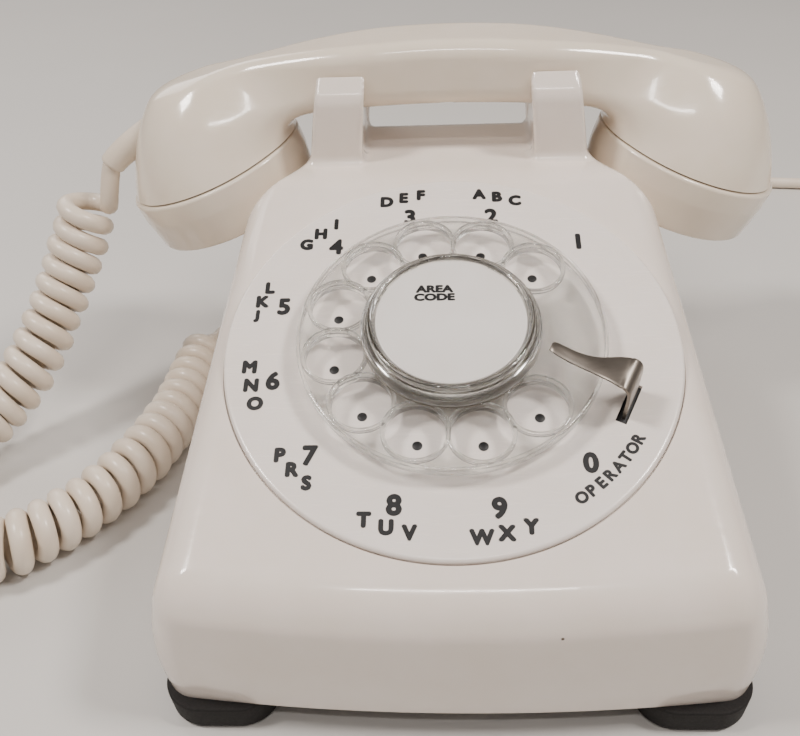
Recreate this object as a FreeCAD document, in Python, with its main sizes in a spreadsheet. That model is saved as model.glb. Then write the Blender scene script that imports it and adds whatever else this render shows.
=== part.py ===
import FreeCAD, Part
import math
import os
import Sketcher
from FreeCAD import Placement, Rotation, Vector

# Desk telephone with a rotary dial: a moulded housing on a pressed steel base, a cradle
# with two plungers, a handset on a curly cord, a bell ringer and a line cord with its plug.
# The origin is on the table under the middle of the housing. +X is to the right of the
# person dialling, +Y is away from that person and +Z is up. Lengths are millimetres.

DRIVING = (
    ("wall", 2.6, "wall of the moulded housing"),
    ("foot_height", 9.0, "height of the rubber feet"),
    ("foot_length", 32.0, "foot across the telephone"),
    ("foot_width", 24.0, "foot along the telephone"),
    ("foot_corner", 8.0, "corner radius of a foot"),
    ("base_thick", 1.5, "thickness of the steel base plate"),
    ("base_gap", 0.6, "gap between the base plate and the housing's wall"),
    ("screw_head", 3.5, "radius of a housing screw's head"),
    ("screw_back", 88.0, "distance of a housing screw from the middle"),
    ("base_half_width", 79.0, "half width of the housing at its lower rim"),
    ("belly_half_width", 80.8, "half width of the housing at its widest"),
    ("belly_rise", 27.0, "height of the widest line"),
    ("half_depth", 106.5, "half depth of the housing at its widest line"),
    ("rim_tuck", 3.0, "how far the front and rear tuck in at the lower rim"),
    ("side_lean", 13.4, "lean of the side walls, degrees"),
    ("rear_lean", 25.9, "lean of the rear wall, degrees"),
    ("front_lean", 2.0, "lean of the front wall, degrees"),
    ("corner_radius", 15.5, "corner radius of the housing seen from above"),
    ("front_bow", 420.0, "radius of the front wall's bow seen from above"),
    ("plateau_rise", 98.0, "height of the cradle platform"),
    ("loft_rise", 112.0, "height where the housing's walls are drawn to"),
    ("edge_radius", 8.0, "rounding of the housing's upper edges"),
    ("crest_radius", 30.0, "rounding where the dial slope meets the platform"),
    ("dial_tilt", 20.0, "tilt of the dial, degrees"),
    ("dial_back", -34.5, "place of the dial centre along Y"),
    ("dial_rise", 77.0, "height of the dial centre"),
    ("plate_radius", 63.0, "radius of the number plate"),
    ("plate_thick", 2.4, "thickness of the number plate"),
    ("plate_proud", 1.2, "how far the number plate stands above the slope"),
    ("plate_bore", 8.0, "hole in the number plate for the hub"),
    ("seat_ledge", 9.0, "width of the ledge that the number plate lies on"),
    ("seat_clear", 0.3, "clearance round a part that drops into a seat"),
    ("run_clear", 0.05, "radial clearance of a running fit"),
    ("mechanism_radius", 44.0, "radius of the dial frame plates"),
    ("frame_high", -7.2, "underside of the dial frame's front plate"),
    ("frame_low", -34.0, "underside of the dial frame's rear plate"),
    ("frame_thick", 1.6, "thickness of the dial frame's plates"),
    ("scoop_clear", 10.5, "gap between a cup's rim and the hollow under it"),
    ("scoop_side", 88.0, "place of the hollow's centre along X"),
    ("scoop_back", 60.0, "place of the hollow's centre along Y"),
    ("scoop_rise", 99.0, "height of the hollow's centre"),
    ("grip_half_width", 37.0, "half width of the carrying recess"),
    ("grip_front", 70.0, "front wall of the carrying recess along Y"),
    ("grip_low", 70.0, "floor of the carrying recess"),
    ("grip_high", 93.0, "roof of the carrying recess"),
    ("ear_inner", 29.0, "inner half width between the cradle ears"),
    ("ear_base_outer", 45.4, "outer half width of the ears at the platform"),
    ("ear_top_outer", 41.6, "outer half width of the ears at their tops"),
    ("ear_top", 125.0, "height of the ear tops"),
    ("ear_base_thick", 8.0, "thickness of an ear at the platform"),
    ("ear_top_thick", 5.5, "thickness of an ear at its top"),
    ("ear_gap", 0.5, "gap between the handle and an ear"),
    ("saddle_top", 107.8, "height of the saddles between the ears"),
    ("handset_back", 61.5, "place of the handset's centre line along Y"),
    ("handle_depth", 27.0, "depth of the handle front to back"),
    ("handle_top", 133.6, "height of the top of the handle"),
    ("handle_thick", 20.6, "thickness of the handle"),
    ("handle_arc", 255.0, "radius of the arched top of the handle"),
    ("handle_half_length", 86.0, "half length of the arched bar"),
    ("handle_edge", 7.0, "rounding of the handle's long edges"),
    ("cup_side", 81.4, "place of a cup's rim centre along X"),
    ("cup_rise", 88.8, "height of a cup's rim centre"),
    ("cup_tilt", 20.0, "tilt of a cup, degrees"),
    ("cup_radius", 31.5, "radius of a cup at its rim"),
    ("cup_height", 27.0, "height of a cup above its rim"),
    ("cup_hollow", 26.6, "radius of the hollow in a cup's rim"),
    ("contact_hollow", 18.0, "radius of the deeper hollow over the capsule"),
    ("cup_hollow_height", 3.6, "height of the rim's hollow above the rim"),
    ("contact_hollow_height", 10.0, "height of the deeper hollow above the rim"),
    ("neck_radius", 29.0, "radius of the threaded neck under a cup"),
    ("neck_height", 8.0, "height of the threaded neck"),
    ("cap_height", 13.0, "height of a screwed cap"),
    ("cap_face", 2.5, "thickness of a cap's face"),
    ("cap_hole", 1.5, "radius of a hole in a cap's face"),
    ("cap_hole_circle", 12.0, "radius of the circle of holes in a cap"),
    ("relief_wide", 5.6, "radius of the handset's strain relief at its root"),
    ("relief_narrow", 3.6, "radius of the strain relief at its end"),
    ("relief_length", 34.0, "length of the strain relief"),
    ("unit_clear", 0.4, "clearance round a capsule in its cup"),
    ("plunger_side", 37.0, "place of a plunger along X"),
    ("plunger_radius", 3.5, "radius of a plunger"),
    ("plunger_flange", 5.2, "radius of a plunger's retaining flange"),
    ("plunger_low", 84.3, "lower end of a plunger when pressed"),
    ("plunger_high", 109.2, "upper end of a plunger when pressed"),
    ("lever_back", 31.5, "hinge line of the hookswitch lever along Y"),
    ("lever_rise", 82.0, "height of the lever's hinge line"),
    ("lever_half_length", 42.0, "half length of the lever's tube"),
    ("tube_radius", 3.2, "radius of the lever's tube"),
    ("pin_radius", 1.5, "radius of small pins and pivots"),
    ("wheel_radius", 42.0, "radius of the finger wheel"),
    ("wheel_low", 3.2, "underside of the finger wheel above the plate"),
    ("wheel_high", 5.2, "face of the finger wheel above the plate"),
    ("wheel_rim_high", 6.8, "top of the wheel's rim and collars"),
    ("hole_radius", 7.85, "radius of a finger hole"),
    ("hole_circle", 32.0, "radius of the circle of finger holes"),
    ("hole_step", 30.0, "angle between finger holes, degrees"),
    ("hole_first", 43.1, "angle of the first finger hole, degrees"),
    ("collar_wall", 1.2, "wall of the collar round a finger hole"),
    ("stop_gap", 7.754, "distance of the finger stop's root outside the wheel"),
    ("stop_place", -22.7, "direction of the finger stop's root from the dial's centre, degrees"),
    ("stop_bearing", 154.0, "direction of the finger stop's arm, degrees"),
    ("stop_high", 12.3, "top of the finger stop above the plate"),
    ("stop_reach", 22.5, "length of the finger stop's arm"),
    ("stop_depth", 5.6, "how far the finger stop reaches below the plate's face"),
    ("stop_thick", 1.0, "thickness of the finger stop's strip"),
    ("stop_half_width", 5.2, "half width of the finger stop's tongue"),
    ("stop_clear", 0.7, "clearance of the tongue in its slot"),
    ("hub_radius", 24.3, "outer radius of the clear hub ring"),
    ("card_radius", 20.3, "radius of the number card"),
    ("hub_high", 12.6, "top of the clear hub ring above the plate"),
    ("shaft_radius", 3.0, "radius of the dial's main shaft"),
    ("tooth_size", 0.7, "module of the gear teeth"),
    ("drive_teeth", 60, "teeth of the drive gear"),
    ("pinion_teeth", 12, "teeth of the idler's pinion"),
    ("idler_teeth", 40, "teeth of the idler gear"),
    ("governor_teeth", 10, "teeth of the governor's pinion"),
    ("idler_bearing", 200.0, "direction of the idler from the main shaft, degrees"),
    ("governor_bearing", 300.0, "direction of the governor from the idler, degrees"),
    ("gong_radius", 24.0, "radius of a gong"),
    ("gong_rise", 24.0, "height of a gong's lip"),
    ("gong_height", 17.0, "height of a gong"),
    ("gong_side", -50.0, "place of the gongs along X"),
    ("gong_pitch", 60.0, "distance between the gongs"),
    ("gong_middle", 41.0, "place of the middle between the gongs along Y"),
    ("clapper_side", -26.0, "place of the clapper's pivot along X"),
    ("winding_radius", 8.4, "radius of a ringer winding"),
    ("winding_height", 18.0, "height of a ringer winding"),
    ("winding_side", -13.0, "place of the ringer windings along X"),
    ("winding_pitch", 23.0, "distance between the ringer windings"),
    ("volume_radius", 12.0, "radius of the volume wheel"),
    ("volume_side", -66.0, "place of the volume wheel along X"),
    ("volume_thick", 3.0, "thickness of the volume wheel"),
    ("volume_rise", 17.0, "height of the volume wheel's axle"),
    ("can_left", 10.0, "left side of the network can along X"),
    ("can_right", 70.0, "right side of the network can along X"),
    ("can_front", 8.0, "front of the network can along Y"),
    ("can_rear", 90.0, "rear of the network can along Y"),
    ("can_height", 29.0, "height of the network can"),
    ("board_height", 6.0, "height of the terminal board on the can"),
    ("grommet_radius", 5.2, "radius of the curly cord's grommet"),
    ("line_grommet", 4.2, "radius of the line cord's grommet"),
    ("curly_cord", 20.5, "outer diameter of the curly cord's coil"),
    ("grommet_length", 19.0, "length of the curly cord's grommet"),
    ("line_grommet_length", 18.0, "length of the line cord's grommet"),
    ("line_cord", 5.5, "diameter of the line cord"),
    ("line_coil_radius", 33.0, "middle radius of the put-away turns"),
    ("line_coil_side", 232.0, "place of the put-away turns along X"),
    ("line_coil_back", 178.0, "place of the put-away turns along Y"),
    ("line_coil_layers", 4, "layers of put-away turns"),
    ("cord_lie", 2.9, "height of the line cord's centre where it lies on the table"),
    ("plug_width", 11.6, "width of the modular plug"),
    ("plug_length", 19.0, "length of the modular plug"),
)

# Points on the way of each free cord, chosen by hand.
HANDSET_CORD_POINTS = (
    (-124.0, 56.5, 78.5), (-133.0, 52.5, 66.5), (-142.0, 37.0, 47.5), (-153.0, 20.0, 28.5),
    (-171.0, 1.0, 13.5), (-186.0, -22.0, 10.5), (-177.0, -49.0, 10.5), (-148.0, -53.5, 10.5),
    (-124.0, -35.0, 10.5), (-109.0, -10.0, 10.5), (-101.5, 17.0, 10.5), (-99.5, 44.0, 10.5),
    (-97.0, 62.0, 12.0), (-88.5, 73.0, 14.0),
)
LINE_CORD_POINTS = (
    (35.0, 112.0, 15.0), (35.0, 124.0, 14.2), (36.5, 139.0, 8.6), (41.0, 154.0, 3.2),
    (52.0, 172.0, 2.9), (71.0, 191.0, 2.9), (97.0, 206.0, 2.9), (129.0, 217.0, 2.9),
    (162.0, 221.0, 2.9), (184.0, 218.8, 2.9), (203.0, 215.5, 2.9), (221.0, 213.8, 2.9),
)

doc = FreeCAD.newDocument("RotaryTelephone")
sheet = doc.addObject("Spreadsheet::Sheet", "Dimensions")
for row, (alias, number, meaning) in enumerate(DRIVING, 1):
    sheet.set(f"A{row}", meaning)
    sheet.set(f"B{row}", str(number))
    sheet.setAlias(f"B{row}", alias)
doc.recompute()
ALIASES = {alias for alias, number, meaning in DRIVING}
FAR = 400
FLOOR = "foot_height + base_thick"
nodes = []


# ---- small tools --------------------------------------------------------------------

def num(text):
    """The value of an expression in the sheet's names."""
    return float(sheet.evalExpression(str(text)))


def bound(text):
    """The same expression as another object has to write it."""
    word, out = "", ""
    for letter in str(text) + " ":
        if letter.isalnum() or letter == "_":
            word += letter
        else:
            out += ("Dimensions." + word if word in ALIASES else word) + letter
            word = ""
    return out.strip()


def bind(thing, name, text):
    thing.setExpression(name, bound(text))


def at(x="0", y="0", z="0"):
    return Vector(num(x), num(y), num(z))


def place(thing, x="0", y="0", z="0", axis=(0, 0, 1), angle="0"):
    thing.Placement = Placement(at(x, y, z), Rotation(Vector(*axis), num(angle)))
    for letter, text in zip("xyz", (x, y, z)):
        bind(thing, "Placement.Base." + letter, text)
    return thing


def carry(thing, frame):
    """Moves an object from the frame's own axes into the telephone's axes."""
    for letter in "xyz":
        thing.setExpression("Placement.Base." + letter, None)
    thing.Placement = frame.multiply(thing.Placement)
    return thing


def keep(thing, label, frame=None):
    """Makes this object the sub-part with this label."""
    thing.Label = label
    if frame is not None:
        carry(thing, frame)
    nodes.append(thing)
    return thing


def cylinder(radius, height, x="0", y="0", z="0", axis=(0, 0, 1), angle="0"):
    thing = doc.addObject("Part::Cylinder", "Cylinder")
    bind(thing, "Radius", radius)
    bind(thing, "Height", height)
    return place(thing, x, y, z, axis, angle)


def cone(low_radius, high_radius, height, x="0", y="0", z="0", axis=(0, 0, 1), angle="0"):
    thing = doc.addObject("Part::Cone", "Cone")
    bind(thing, "Radius1", low_radius)
    bind(thing, "Radius2", high_radius)
    bind(thing, "Height", height)
    return place(thing, x, y, z, axis, angle)


def sphere(radius, x="0", y="0", z="0"):
    thing = doc.addObject("Part::Sphere", "Sphere")
    bind(thing, "Radius", radius)
    return place(thing, x, y, z)


def block(x_low, x_high, y_low, y_high, z_low, z_high):
    thing = doc.addObject("Part::Box", "Block")
    bind(thing, "Length", f"({x_high}) - ({x_low})")
    bind(thing, "Width", f"({y_high}) - ({y_low})")
    bind(thing, "Height", f"({z_high}) - ({z_low})")
    return place(thing, x_low, y_low, z_low)


def fuse(*things):
    thing = doc.addObject("Part::MultiFuse", "Fusion")
    thing.Shapes = list(things)
    return thing


def cut(thing, *tools):
    result = doc.addObject("Part::Cut", "Cut")
    result.Base = thing
    result.Tool = tools[0] if len(tools) == 1 else fuse(*tools)
    return result


def common(one, other):
    result = doc.addObject("Part::Common", "Common")
    result.Base = one
    result.Tool = other
    return result


def group(*things):
    """Separate solids of one kind in one sub-part."""
    result = doc.addObject("Part::Compound", "Group")
    result.Links = list(things)
    return result


def new_body(name):
    return doc.addObject("PartDesign::Body", name)


def new_sketch(body, role, offset="0"):
    sketch = body.newObject("Sketcher::SketchObject", "Sketch")
    plane = next(part for part in body.Origin.OriginFeatures if part.Role == role)
    sketch.AttachmentSupport = (plane, [""])
    sketch.MapMode = "FlatFace"
    sketch.AttachmentOffset = Placement(Vector(0, 0, num(offset)), Rotation())
    bind(sketch, "AttachmentOffset.Base.z", offset)
    return sketch


def pin_point(sketch, item, point, u, v):
    """Ties one point of a sketch to the place (u, v)."""
    for kind, axis_line, text in (("DistanceX", -2, u), ("DistanceY", -1, v)):
        if abs(num(text)) < 1e-9:
            sketch.addConstraint(Sketcher.Constraint("PointOnObject", item, point, axis_line))
            continue
        tie = Sketcher.Constraint(kind, -1, 1, item, point, num(text))
        index = sketch.addConstraint(tie)
        bind(sketch, f"Constraints[{index}]", text)


def polygon(sketch, corners):
    """A closed outline through corners given as pairs of expressions."""
    spots = [Vector(num(u), num(v), 0) for u, v in corners]
    first = sketch.GeometryCount
    for index, spot in enumerate(spots):
        following = spots[(index + 1) % len(spots)]
        sketch.addGeometry(Part.LineSegment(spot, following), False)
    for index, (u, v) in enumerate(corners):
        line = first + index
        other = first + (index + 1) % len(corners)
        sketch.addConstraint(Sketcher.Constraint("Coincident", line, 2, other, 1))
        pin_point(sketch, line, 1, u, v)


def circle(sketch, radius, u="0", v="0"):
    centre = Vector(num(u), num(v), 0)
    item = sketch.addGeometry(Part.Circle(centre, Vector(0, 0, 1), num(radius)), False)
    pin_point(sketch, item, 3, u, v)
    index = sketch.addConstraint(Sketcher.Constraint("Radius", item, num(radius)))
    bind(sketch, f"Constraints[{index}]", radius)


def rounded_rectangle(sketch, half_width, front, rear, radius, bow=None):
    """A rectangle with round corners, symmetrical about the sketch's upright axis.
    With a bow its front side is an arc of that radius instead of a line."""
    w, low, high, r = num(half_width), num(front), num(rear), num(radius)
    lean, corner = -math.pi / 2, low + r
    if bow is not None:
        big = num(bow)
        corner = low + big - math.sqrt((big - r) ** 2 - (w - r) ** 2)
        lean = math.atan2(corner - low - big, w - r)
        ring = Part.Circle(Vector(0, low + big, 0), Vector(0, 0, 1), big)
        sketch.addGeometry(Part.ArcOfCircle(ring, -math.pi - lean, lean), False)
    else:
        front_line = Part.LineSegment(Vector(-w + r, low, 0), Vector(w - r, low, 0))
        sketch.addGeometry(front_line, False)
    quarter = math.pi / 2
    corners = ((w - r, corner, lean, 0), (w - r, high - r, 0, quarter),
               (-w + r, high - r, quarter, 2 * quarter), (-w + r, corner, 2 * quarter, math.pi - lean))
    lines = (((w, corner), (w, high - r)), ((w - r, high), (-w + r, high)), ((-w, high - r), (-w, corner)))
    for index, (x, y, start, end) in enumerate(corners):
        ring = Part.Circle(Vector(x, y, 0), Vector(0, 0, 1), r)
        sketch.addGeometry(Part.ArcOfCircle(ring, start, end), False)
        if index < 3:
            one, two = lines[index]
            sketch.addGeometry(Part.LineSegment(Vector(*one, 0), Vector(*two, 0)), False)
    for item in range(8):
        sketch.addConstraint(Sketcher.Constraint("Tangent", item, 2, (item + 1) % 8, 1))
    for arc in (3, 5, 7):
        sketch.addConstraint(Sketcher.Constraint("Equal", 1, arc))
    for line, kind in ((4, "Horizontal"), (2, "Vertical"), (6, "Vertical")):
        sketch.addConstraint(Sketcher.Constraint(kind, line))
    ties = [("DistanceX", 2, 1, half_width), ("DistanceX", 6, 1, f"-({half_width})"),
            ("DistanceY", 4, 1, rear)]
    if bow is None:
        sketch.addConstraint(Sketcher.Constraint("Horizontal", 0))
        ties.append(("DistanceY", 0, 1, front))
    else:
        sketch.addConstraint(Sketcher.Constraint("PointOnObject", 0, 3, -2))
        ties.append(("DistanceY", 0, 3, f"({front}) + ({bow})"))
        index = sketch.addConstraint(Sketcher.Constraint("Radius", 0, num(bow)))
        bind(sketch, f"Constraints[{index}]", bow)
    for kind, item, point, text in ties:
        tie = Sketcher.Constraint(kind, -1, 1, item, point, num(text))
        bind(sketch, f"Constraints[{sketch.addConstraint(tie)}]", text)
    index = sketch.addConstraint(Sketcher.Constraint("Radius", 1, r))
    bind(sketch, f"Constraints[{index}]", radius)


def pad(body, sketch, length, reverse=False, middle=False):
    feature = body.newObject("PartDesign::Pad", "Pad")
    feature.Profile = sketch
    bind(feature, "Length", length)
    feature.Reversed = reverse
    feature.Midplane = middle
    return feature


def pocket(body, sketch, middle=False, reverse=False):
    feature = body.newObject("PartDesign::Pocket", "Pocket")
    feature.Profile = sketch
    feature.Length = FAR
    feature.Midplane = middle
    feature.Reversed = reverse
    return feature


def turned(name, corners):
    """A body turned about its own Z axis; corners are pairs of radius and height."""
    body = new_body(name)
    sketch = new_sketch(body, "XZ_Plane")
    polygon(sketch, corners)
    feature = body.newObject("PartDesign::Revolution", "Revolution")
    feature.Profile = sketch
    feature.ReferenceAxis = (sketch, ["V_Axis"])
    feature.Angle = 360
    return body


def around(body, feature, count, step):
    """Repeats a feature round the body's Z axis."""
    pattern = body.newObject("PartDesign::PolarPattern", "PolarPattern")
    axis = next(part for part in body.Origin.OriginFeatures if part.Role == "Z_Axis")
    pattern.Originals = [feature]
    pattern.Axis = (axis, [""])
    bind(pattern, "Angle", f"({step}) * ({count} - 1)")
    pattern.Occurrences = count
    body.Tip = pattern
    return pattern


def rounded(body, radius, wanted):
    """Rounds the edges of the body's last feature that the test picks."""
    doc.recompute()
    base = body.Tip
    names = [f"Edge{i}" for i, edge in enumerate(base.Shape.Edges, 1) if wanted(edge)]
    feature = body.newObject("PartDesign::Fillet", "Fillet")
    feature.Base = (base, names)
    bind(feature, "Radius", radius)
    return feature


def dial_frame():
    """The dial's own axes: X to the right, Y up the slope, Z out of the number plate."""
    tilt = Rotation(Vector(1, 0, 0), num("dial_tilt"))
    return Placement(at("0", "dial_back", "dial_rise"), tilt)


def cup_frame(side):
    """A cup's own axes: Z points from the rim up into the handset."""
    tilt = Rotation(Vector(0, 1, 0), side * num("cup_tilt"))
    return Placement(at(f"{side} * cup_side", "handset_back", "cup_rise"), tilt)


def polar(radius, angle):
    """Expressions for the X and Y of a point given by radius and direction."""
    return f"({radius}) * cos({angle})", f"({radius}) * sin({angle})"


def stop_root():
    """The finger stop's own axes on the dial: X points along its arm to the tip."""
    turn = Rotation(Vector(0, 0, 1), num("stop_bearing"))
    return Placement(at(*polar("wheel_radius + stop_gap", "stop_place")), turn)


def stop_slot(low, high):
    """The slot that the finger stop's tongue passes through, in the dial's own axes."""
    half = "(stop_half_width + stop_clear + 0.5)"
    slot = block("-stop_thick - stop_clear", "0.1 + stop_clear", f"-{half}", half, low, high)
    return carry(slot, stop_root())


# ---- housing ------------------------------------------------------------------------

def slope_height(along, inset):
    """Height of the dial slope at a place along Y, moved inwards by the inset."""
    drop = f"(plate_proud + {inset}) / cos(dial_tilt)"
    return f"dial_rise + (({along}) - dial_back) * tan(dial_tilt) - {drop}"


def envelope(name, inset):
    """The housing's outer form, or the same form made smaller all round."""
    body = new_body(name)
    inner = inset != "0"
    levels = ("foot_height - 1" if inner else "foot_height", "belly_rise", "loft_rise")
    rise = "(loft_rise - belly_rise)"
    widths = (
        f"base_half_width - {inset}",
        f"belly_half_width - {inset}",
        f"belly_half_width - {rise} * tan(side_lean) - {inset}",
    )
    fronts = (
        f"-half_depth + rim_tuck + {inset}",
        f"-half_depth + {inset}",
        f"-half_depth + {rise} * tan(front_lean) + {inset}",
    )
    rears = (
        f"half_depth - rim_tuck - {inset}",
        f"half_depth - {inset}",
        f"half_depth - {rise} * tan(rear_lean) - {inset}",
    )
    sections = []
    for level, width, front, rear in zip(levels, widths, fronts, rears):
        sketch = new_sketch(body, "XY_Plane", level)
        rounded_rectangle(sketch, width, front, rear, f"corner_radius - {inset}", f"front_bow - {inset}")
        sections.append(sketch)
    loft = body.newObject("PartDesign::AdditiveLoft", "Walls")
    loft.Profile = sections[0]
    loft.Sections = sections[1:]
    loft.Ruled = True
    top = f"plateau_rise - {inset}"
    run = f"(({top}) - dial_rise + (plate_proud + {inset}) / cos(dial_tilt)) / tan(dial_tilt)"
    crest = f"dial_back + {run}"
    sketch = new_sketch(body, "YZ_Plane")
    front = "-half_depth - 20"
    polygon(sketch, (
        (front, slope_height(front, inset)), (crest, top), ("half_depth", top),
        ("half_depth", "plateau_rise + 50"), (front, "plateau_rise + 50"),
    ))
    pocket(body, sketch, middle=True)
    crest_y, top_z = num(crest), num(top)

    def is_crest(edge):
        middle, across = edge.BoundBox.Center, edge.BoundBox.XLength > 60
        return across and abs(middle.y - crest_y) < 0.5 and abs(middle.z - top_z) < 0.5

    rounded(body, "crest_radius", is_crest)

    def on_top(edge):
        """An edge between the walls and the slope or the platform."""
        middle = edge.valueAt((edge.FirstParameter + edge.LastParameter) / 2)
        slope = num(slope_height(str(middle.y), inset))
        near_slope = abs(middle.z - min(slope, top_z)) < 1.2
        across = edge.BoundBox.XLength > 60 and abs(middle.y - crest_y) < 12
        return near_slope and not across

    rounded(body, "edge_radius" if not inner else "edge_radius - wall", on_top)
    return body


def scoops(extra):
    """The hollows under the handset's cups, made larger by the extra."""
    radius = f"cup_radius + scoop_clear + {extra}"
    parts = []
    for side in (-1, 1):
        x = f"{side} * scoop_side"
        parts.append(sphere(radius, x, "scoop_back", "scoop_rise"))
        parts.append(cylinder(radius, "120", x, "scoop_back", "scoop_rise", (1, 0, 0), "-90"))
    return fuse(*parts)


def grip(extra):
    """The recess behind the cradle that fingers reach into to carry the telephone."""
    return block(f"-grip_half_width - {extra}", f"grip_half_width + {extra}",
                 f"grip_front - {extra}", "half_depth + 10",
                 f"grip_low - {extra}", f"grip_high + {extra}")


def ear(side, end):
    """One cradle ear; end is -1 in front of the handle and 1 behind it."""
    thing = doc.addObject("Part::Wedge", "Ear")
    inner = "(handle_depth / 2 + ear_gap)"
    low = "plateau_rise - wall"
    sizes = {
        "Ymin": low, "Ymax": "ear_top",
        "Xmin": "ear_inner", "Xmax": "ear_base_outer",
        "X2min": "ear_inner + 1", "X2max": "ear_top_outer",
        "Zmin": inner, "Zmax": f"{inner} + ear_base_thick",
        "Z2min": inner, "Z2max": f"{inner} + ear_top_thick",
    }
    for name, text in sizes.items():
        bind(thing, name, text)
    upright = Rotation(Vector(1, 0, 0), 90)
    turn = Rotation(Vector(0, 0, 1), 180 if end > 0 else 0)
    thing.Placement = Placement(at("0", "handset_back", "0"), turn.multiply(upright))
    bind(thing, "Placement.Base.y", "handset_back")
    if side * end > 0:
        mirror = doc.addObject("Part::Mirroring", "MirroredEar")
        mirror.Source = thing
        mirror.Normal = Vector(1, 0, 0)
        return mirror
    return thing


def saddle(side):
    low, high = ("-ear_base_outer", "-ear_inner") if side < 0 else ("ear_inner", "ear_base_outer")
    half = "(handle_depth / 2 + ear_gap + 1)"
    return block(low, high, f"handset_back - {half}", f"handset_back + {half}",
                 "plateau_rise - wall", "saddle_top")


def housing():
    outer = envelope("OuterForm", "0")
    inner = envelope("InnerForm", "wall")
    void = cut(inner, scoops("wall"), grip("wall"))
    ears = [ear(side, end) for side in (-1, 1) for end in (-1, 1)]
    cradle = fuse(*ears, saddle(-1), saddle(1))
    shell = fuse(cut(outer, scoops("0"), grip("0"), void), cradle)
    seat = carry(cylinder("plate_radius + seat_clear", "30", z="-plate_thick"), dial_frame())
    opening = carry(cylinder("plate_radius - seat_ledge", "40", z="-25"), dial_frame())
    notch = carry(block("-stop_thick - stop_clear", "10 + stop_clear", "-stop_half_width - stop_clear",
                        "stop_half_width + stop_clear", "-stop_depth - stop_clear", "0"), stop_root())
    notch = carry(notch, dial_frame())
    guides = [
        cylinder("plunger_radius + 2 * run_clear", "60", f"{side} * plunger_side",
                 "handset_back", "plateau_rise - 2 * wall - 10")
        for side in (-1, 1)
    ]
    entries = [
        carry(cylinder("grommet_radius + run_clear", "24"), curly_entry_frame()),
        carry(cylinder("line_grommet + run_clear", "24"), line_entry_frame()),
    ]
    keep(cut(shell, seat, opening, notch, *guides, *entries), "housing")


def curly_entry_frame():
    """Where the curly cord meets its grommet; Z points into the housing."""
    end = Vector(*HANDSET_CORD_POINTS[-1])
    way = (end - Vector(*HANDSET_CORD_POINTS[-2])).normalize()
    return Placement(end, Rotation(Vector(0, 0, 1), way))


def line_entry_frame():
    """Where the line cord meets its grommet; Z points into the housing."""
    start = Vector(*LINE_CORD_POINTS[0])
    way = (start - Vector(*LINE_CORD_POINTS[1])).normalize()
    return Placement(start, Rotation(Vector(0, 0, 1), way))


# ---- base ---------------------------------------------------------------------------

def base_plate():
    body = new_body("BasePlate")
    sketch = new_sketch(body, "XY_Plane", "foot_height")
    gap = "(wall + base_gap)"
    rounded_rectangle(sketch, f"base_half_width - {gap}", f"-half_depth + rim_tuck + {gap}",
                      f"half_depth - rim_tuck - {gap}", f"corner_radius - {gap}", f"front_bow - {gap}")
    pad(body, sketch, "base_thick")
    slot = block("volume_side - 3", "volume_side + 3", "gong_middle - volume_radius - 1",
                 "gong_middle + volume_radius + 1", "foot_height - 2", "foot_height + 4")
    keep(cut(body, slot), "base_plate")


def feet():
    pads = []
    for side in (-1, 1):
        for end in (-1, 1):
            body = new_body("Foot")
            sketch = new_sketch(body, "XY_Plane", "0")
            rounded_rectangle(sketch, "foot_length / 2", "-foot_width / 2", "foot_width / 2", "foot_corner")
            pad(body, sketch, "foot_height")
            place(body, f"{side} * (base_half_width - 0.5 - foot_length / 2)",
                  f"{end} * (half_depth - rim_tuck - 1 - foot_width / 2)", "0")
            pads.append(body)
    keep(group(*pads), "feet")


def housing_screws():
    screws = []
    for end in (-1, 1):
        screws.append(cylinder("screw_head", "2", "0", f"{end} * screw_back", "foot_height - 2.2"))
    keep(group(*screws), "housing_screws")


# ---- dial ---------------------------------------------------------------------------

def number_plate():
    body = turned("NumberPlate", (
        ("plate_bore", "-plate_thick"), ("plate_radius - 0.4", "-plate_thick"),
        ("plate_radius", "-plate_thick + 0.4"), ("plate_radius", "-0.7"),
        ("plate_radius - 0.3", "-0.2"), ("plate_radius - 0.9", "0"), ("plate_bore", "0"),
    ))
    keep(cut(body, stop_slot("-plate_thick - 2", "2")), "number_plate", dial_frame())


def finger_stop():
    """A bent strip: an arm above the wheel and a tongue down through the plate's slot."""
    arm = block("-stop_thick", "stop_reach", "-stop_half_width / 2", "stop_half_width / 2",
                "stop_high - stop_thick", "stop_high")
    tongue = block("-stop_thick", "0.1", "-stop_half_width", "stop_half_width", "-stop_depth", "stop_high")
    bridge = block("-stop_thick", "8", "-stop_half_width + 0.8", "stop_half_width - 0.8",
                   "stop_high - stop_thick", "stop_high")
    foot = block("-stop_thick", "10", "-stop_half_width + 1.2", "stop_half_width - 1.2",
                 "-stop_depth", "-stop_depth + stop_thick")
    keep(fuse(arm, tongue, bridge, foot), "finger_stop", dial_frame().multiply(stop_root()))


def finger_wheel():
    body = new_body("FingerWheel")
    disc = new_sketch(body, "XY_Plane", "wheel_low")
    circle(disc, "wheel_radius")
    circle(disc, "shaft_radius + 0.1")
    pad(body, disc, "wheel_high - wheel_low")
    rim = new_sketch(body, "XY_Plane", "wheel_low")
    circle(rim, "wheel_radius")
    circle(rim, "wheel_radius - 1.4")
    pad(body, rim, "wheel_rim_high - wheel_low")
    x, y = polar("hole_circle", "hole_first")
    collar = new_sketch(body, "XY_Plane", "wheel_low")
    circle(collar, "hole_radius + collar_wall", x, y)
    collars = pad(body, collar, "wheel_rim_high - wheel_low")
    around(body, collars, 10, "hole_step")
    hole = new_sketch(body, "XY_Plane", "wheel_low - 1")
    circle(hole, "hole_radius", x, y)
    bore = pocket(body, hole, reverse=True)
    around(body, bore, 10, "hole_step")
    keep(body, "finger_wheel", dial_frame())


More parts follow.
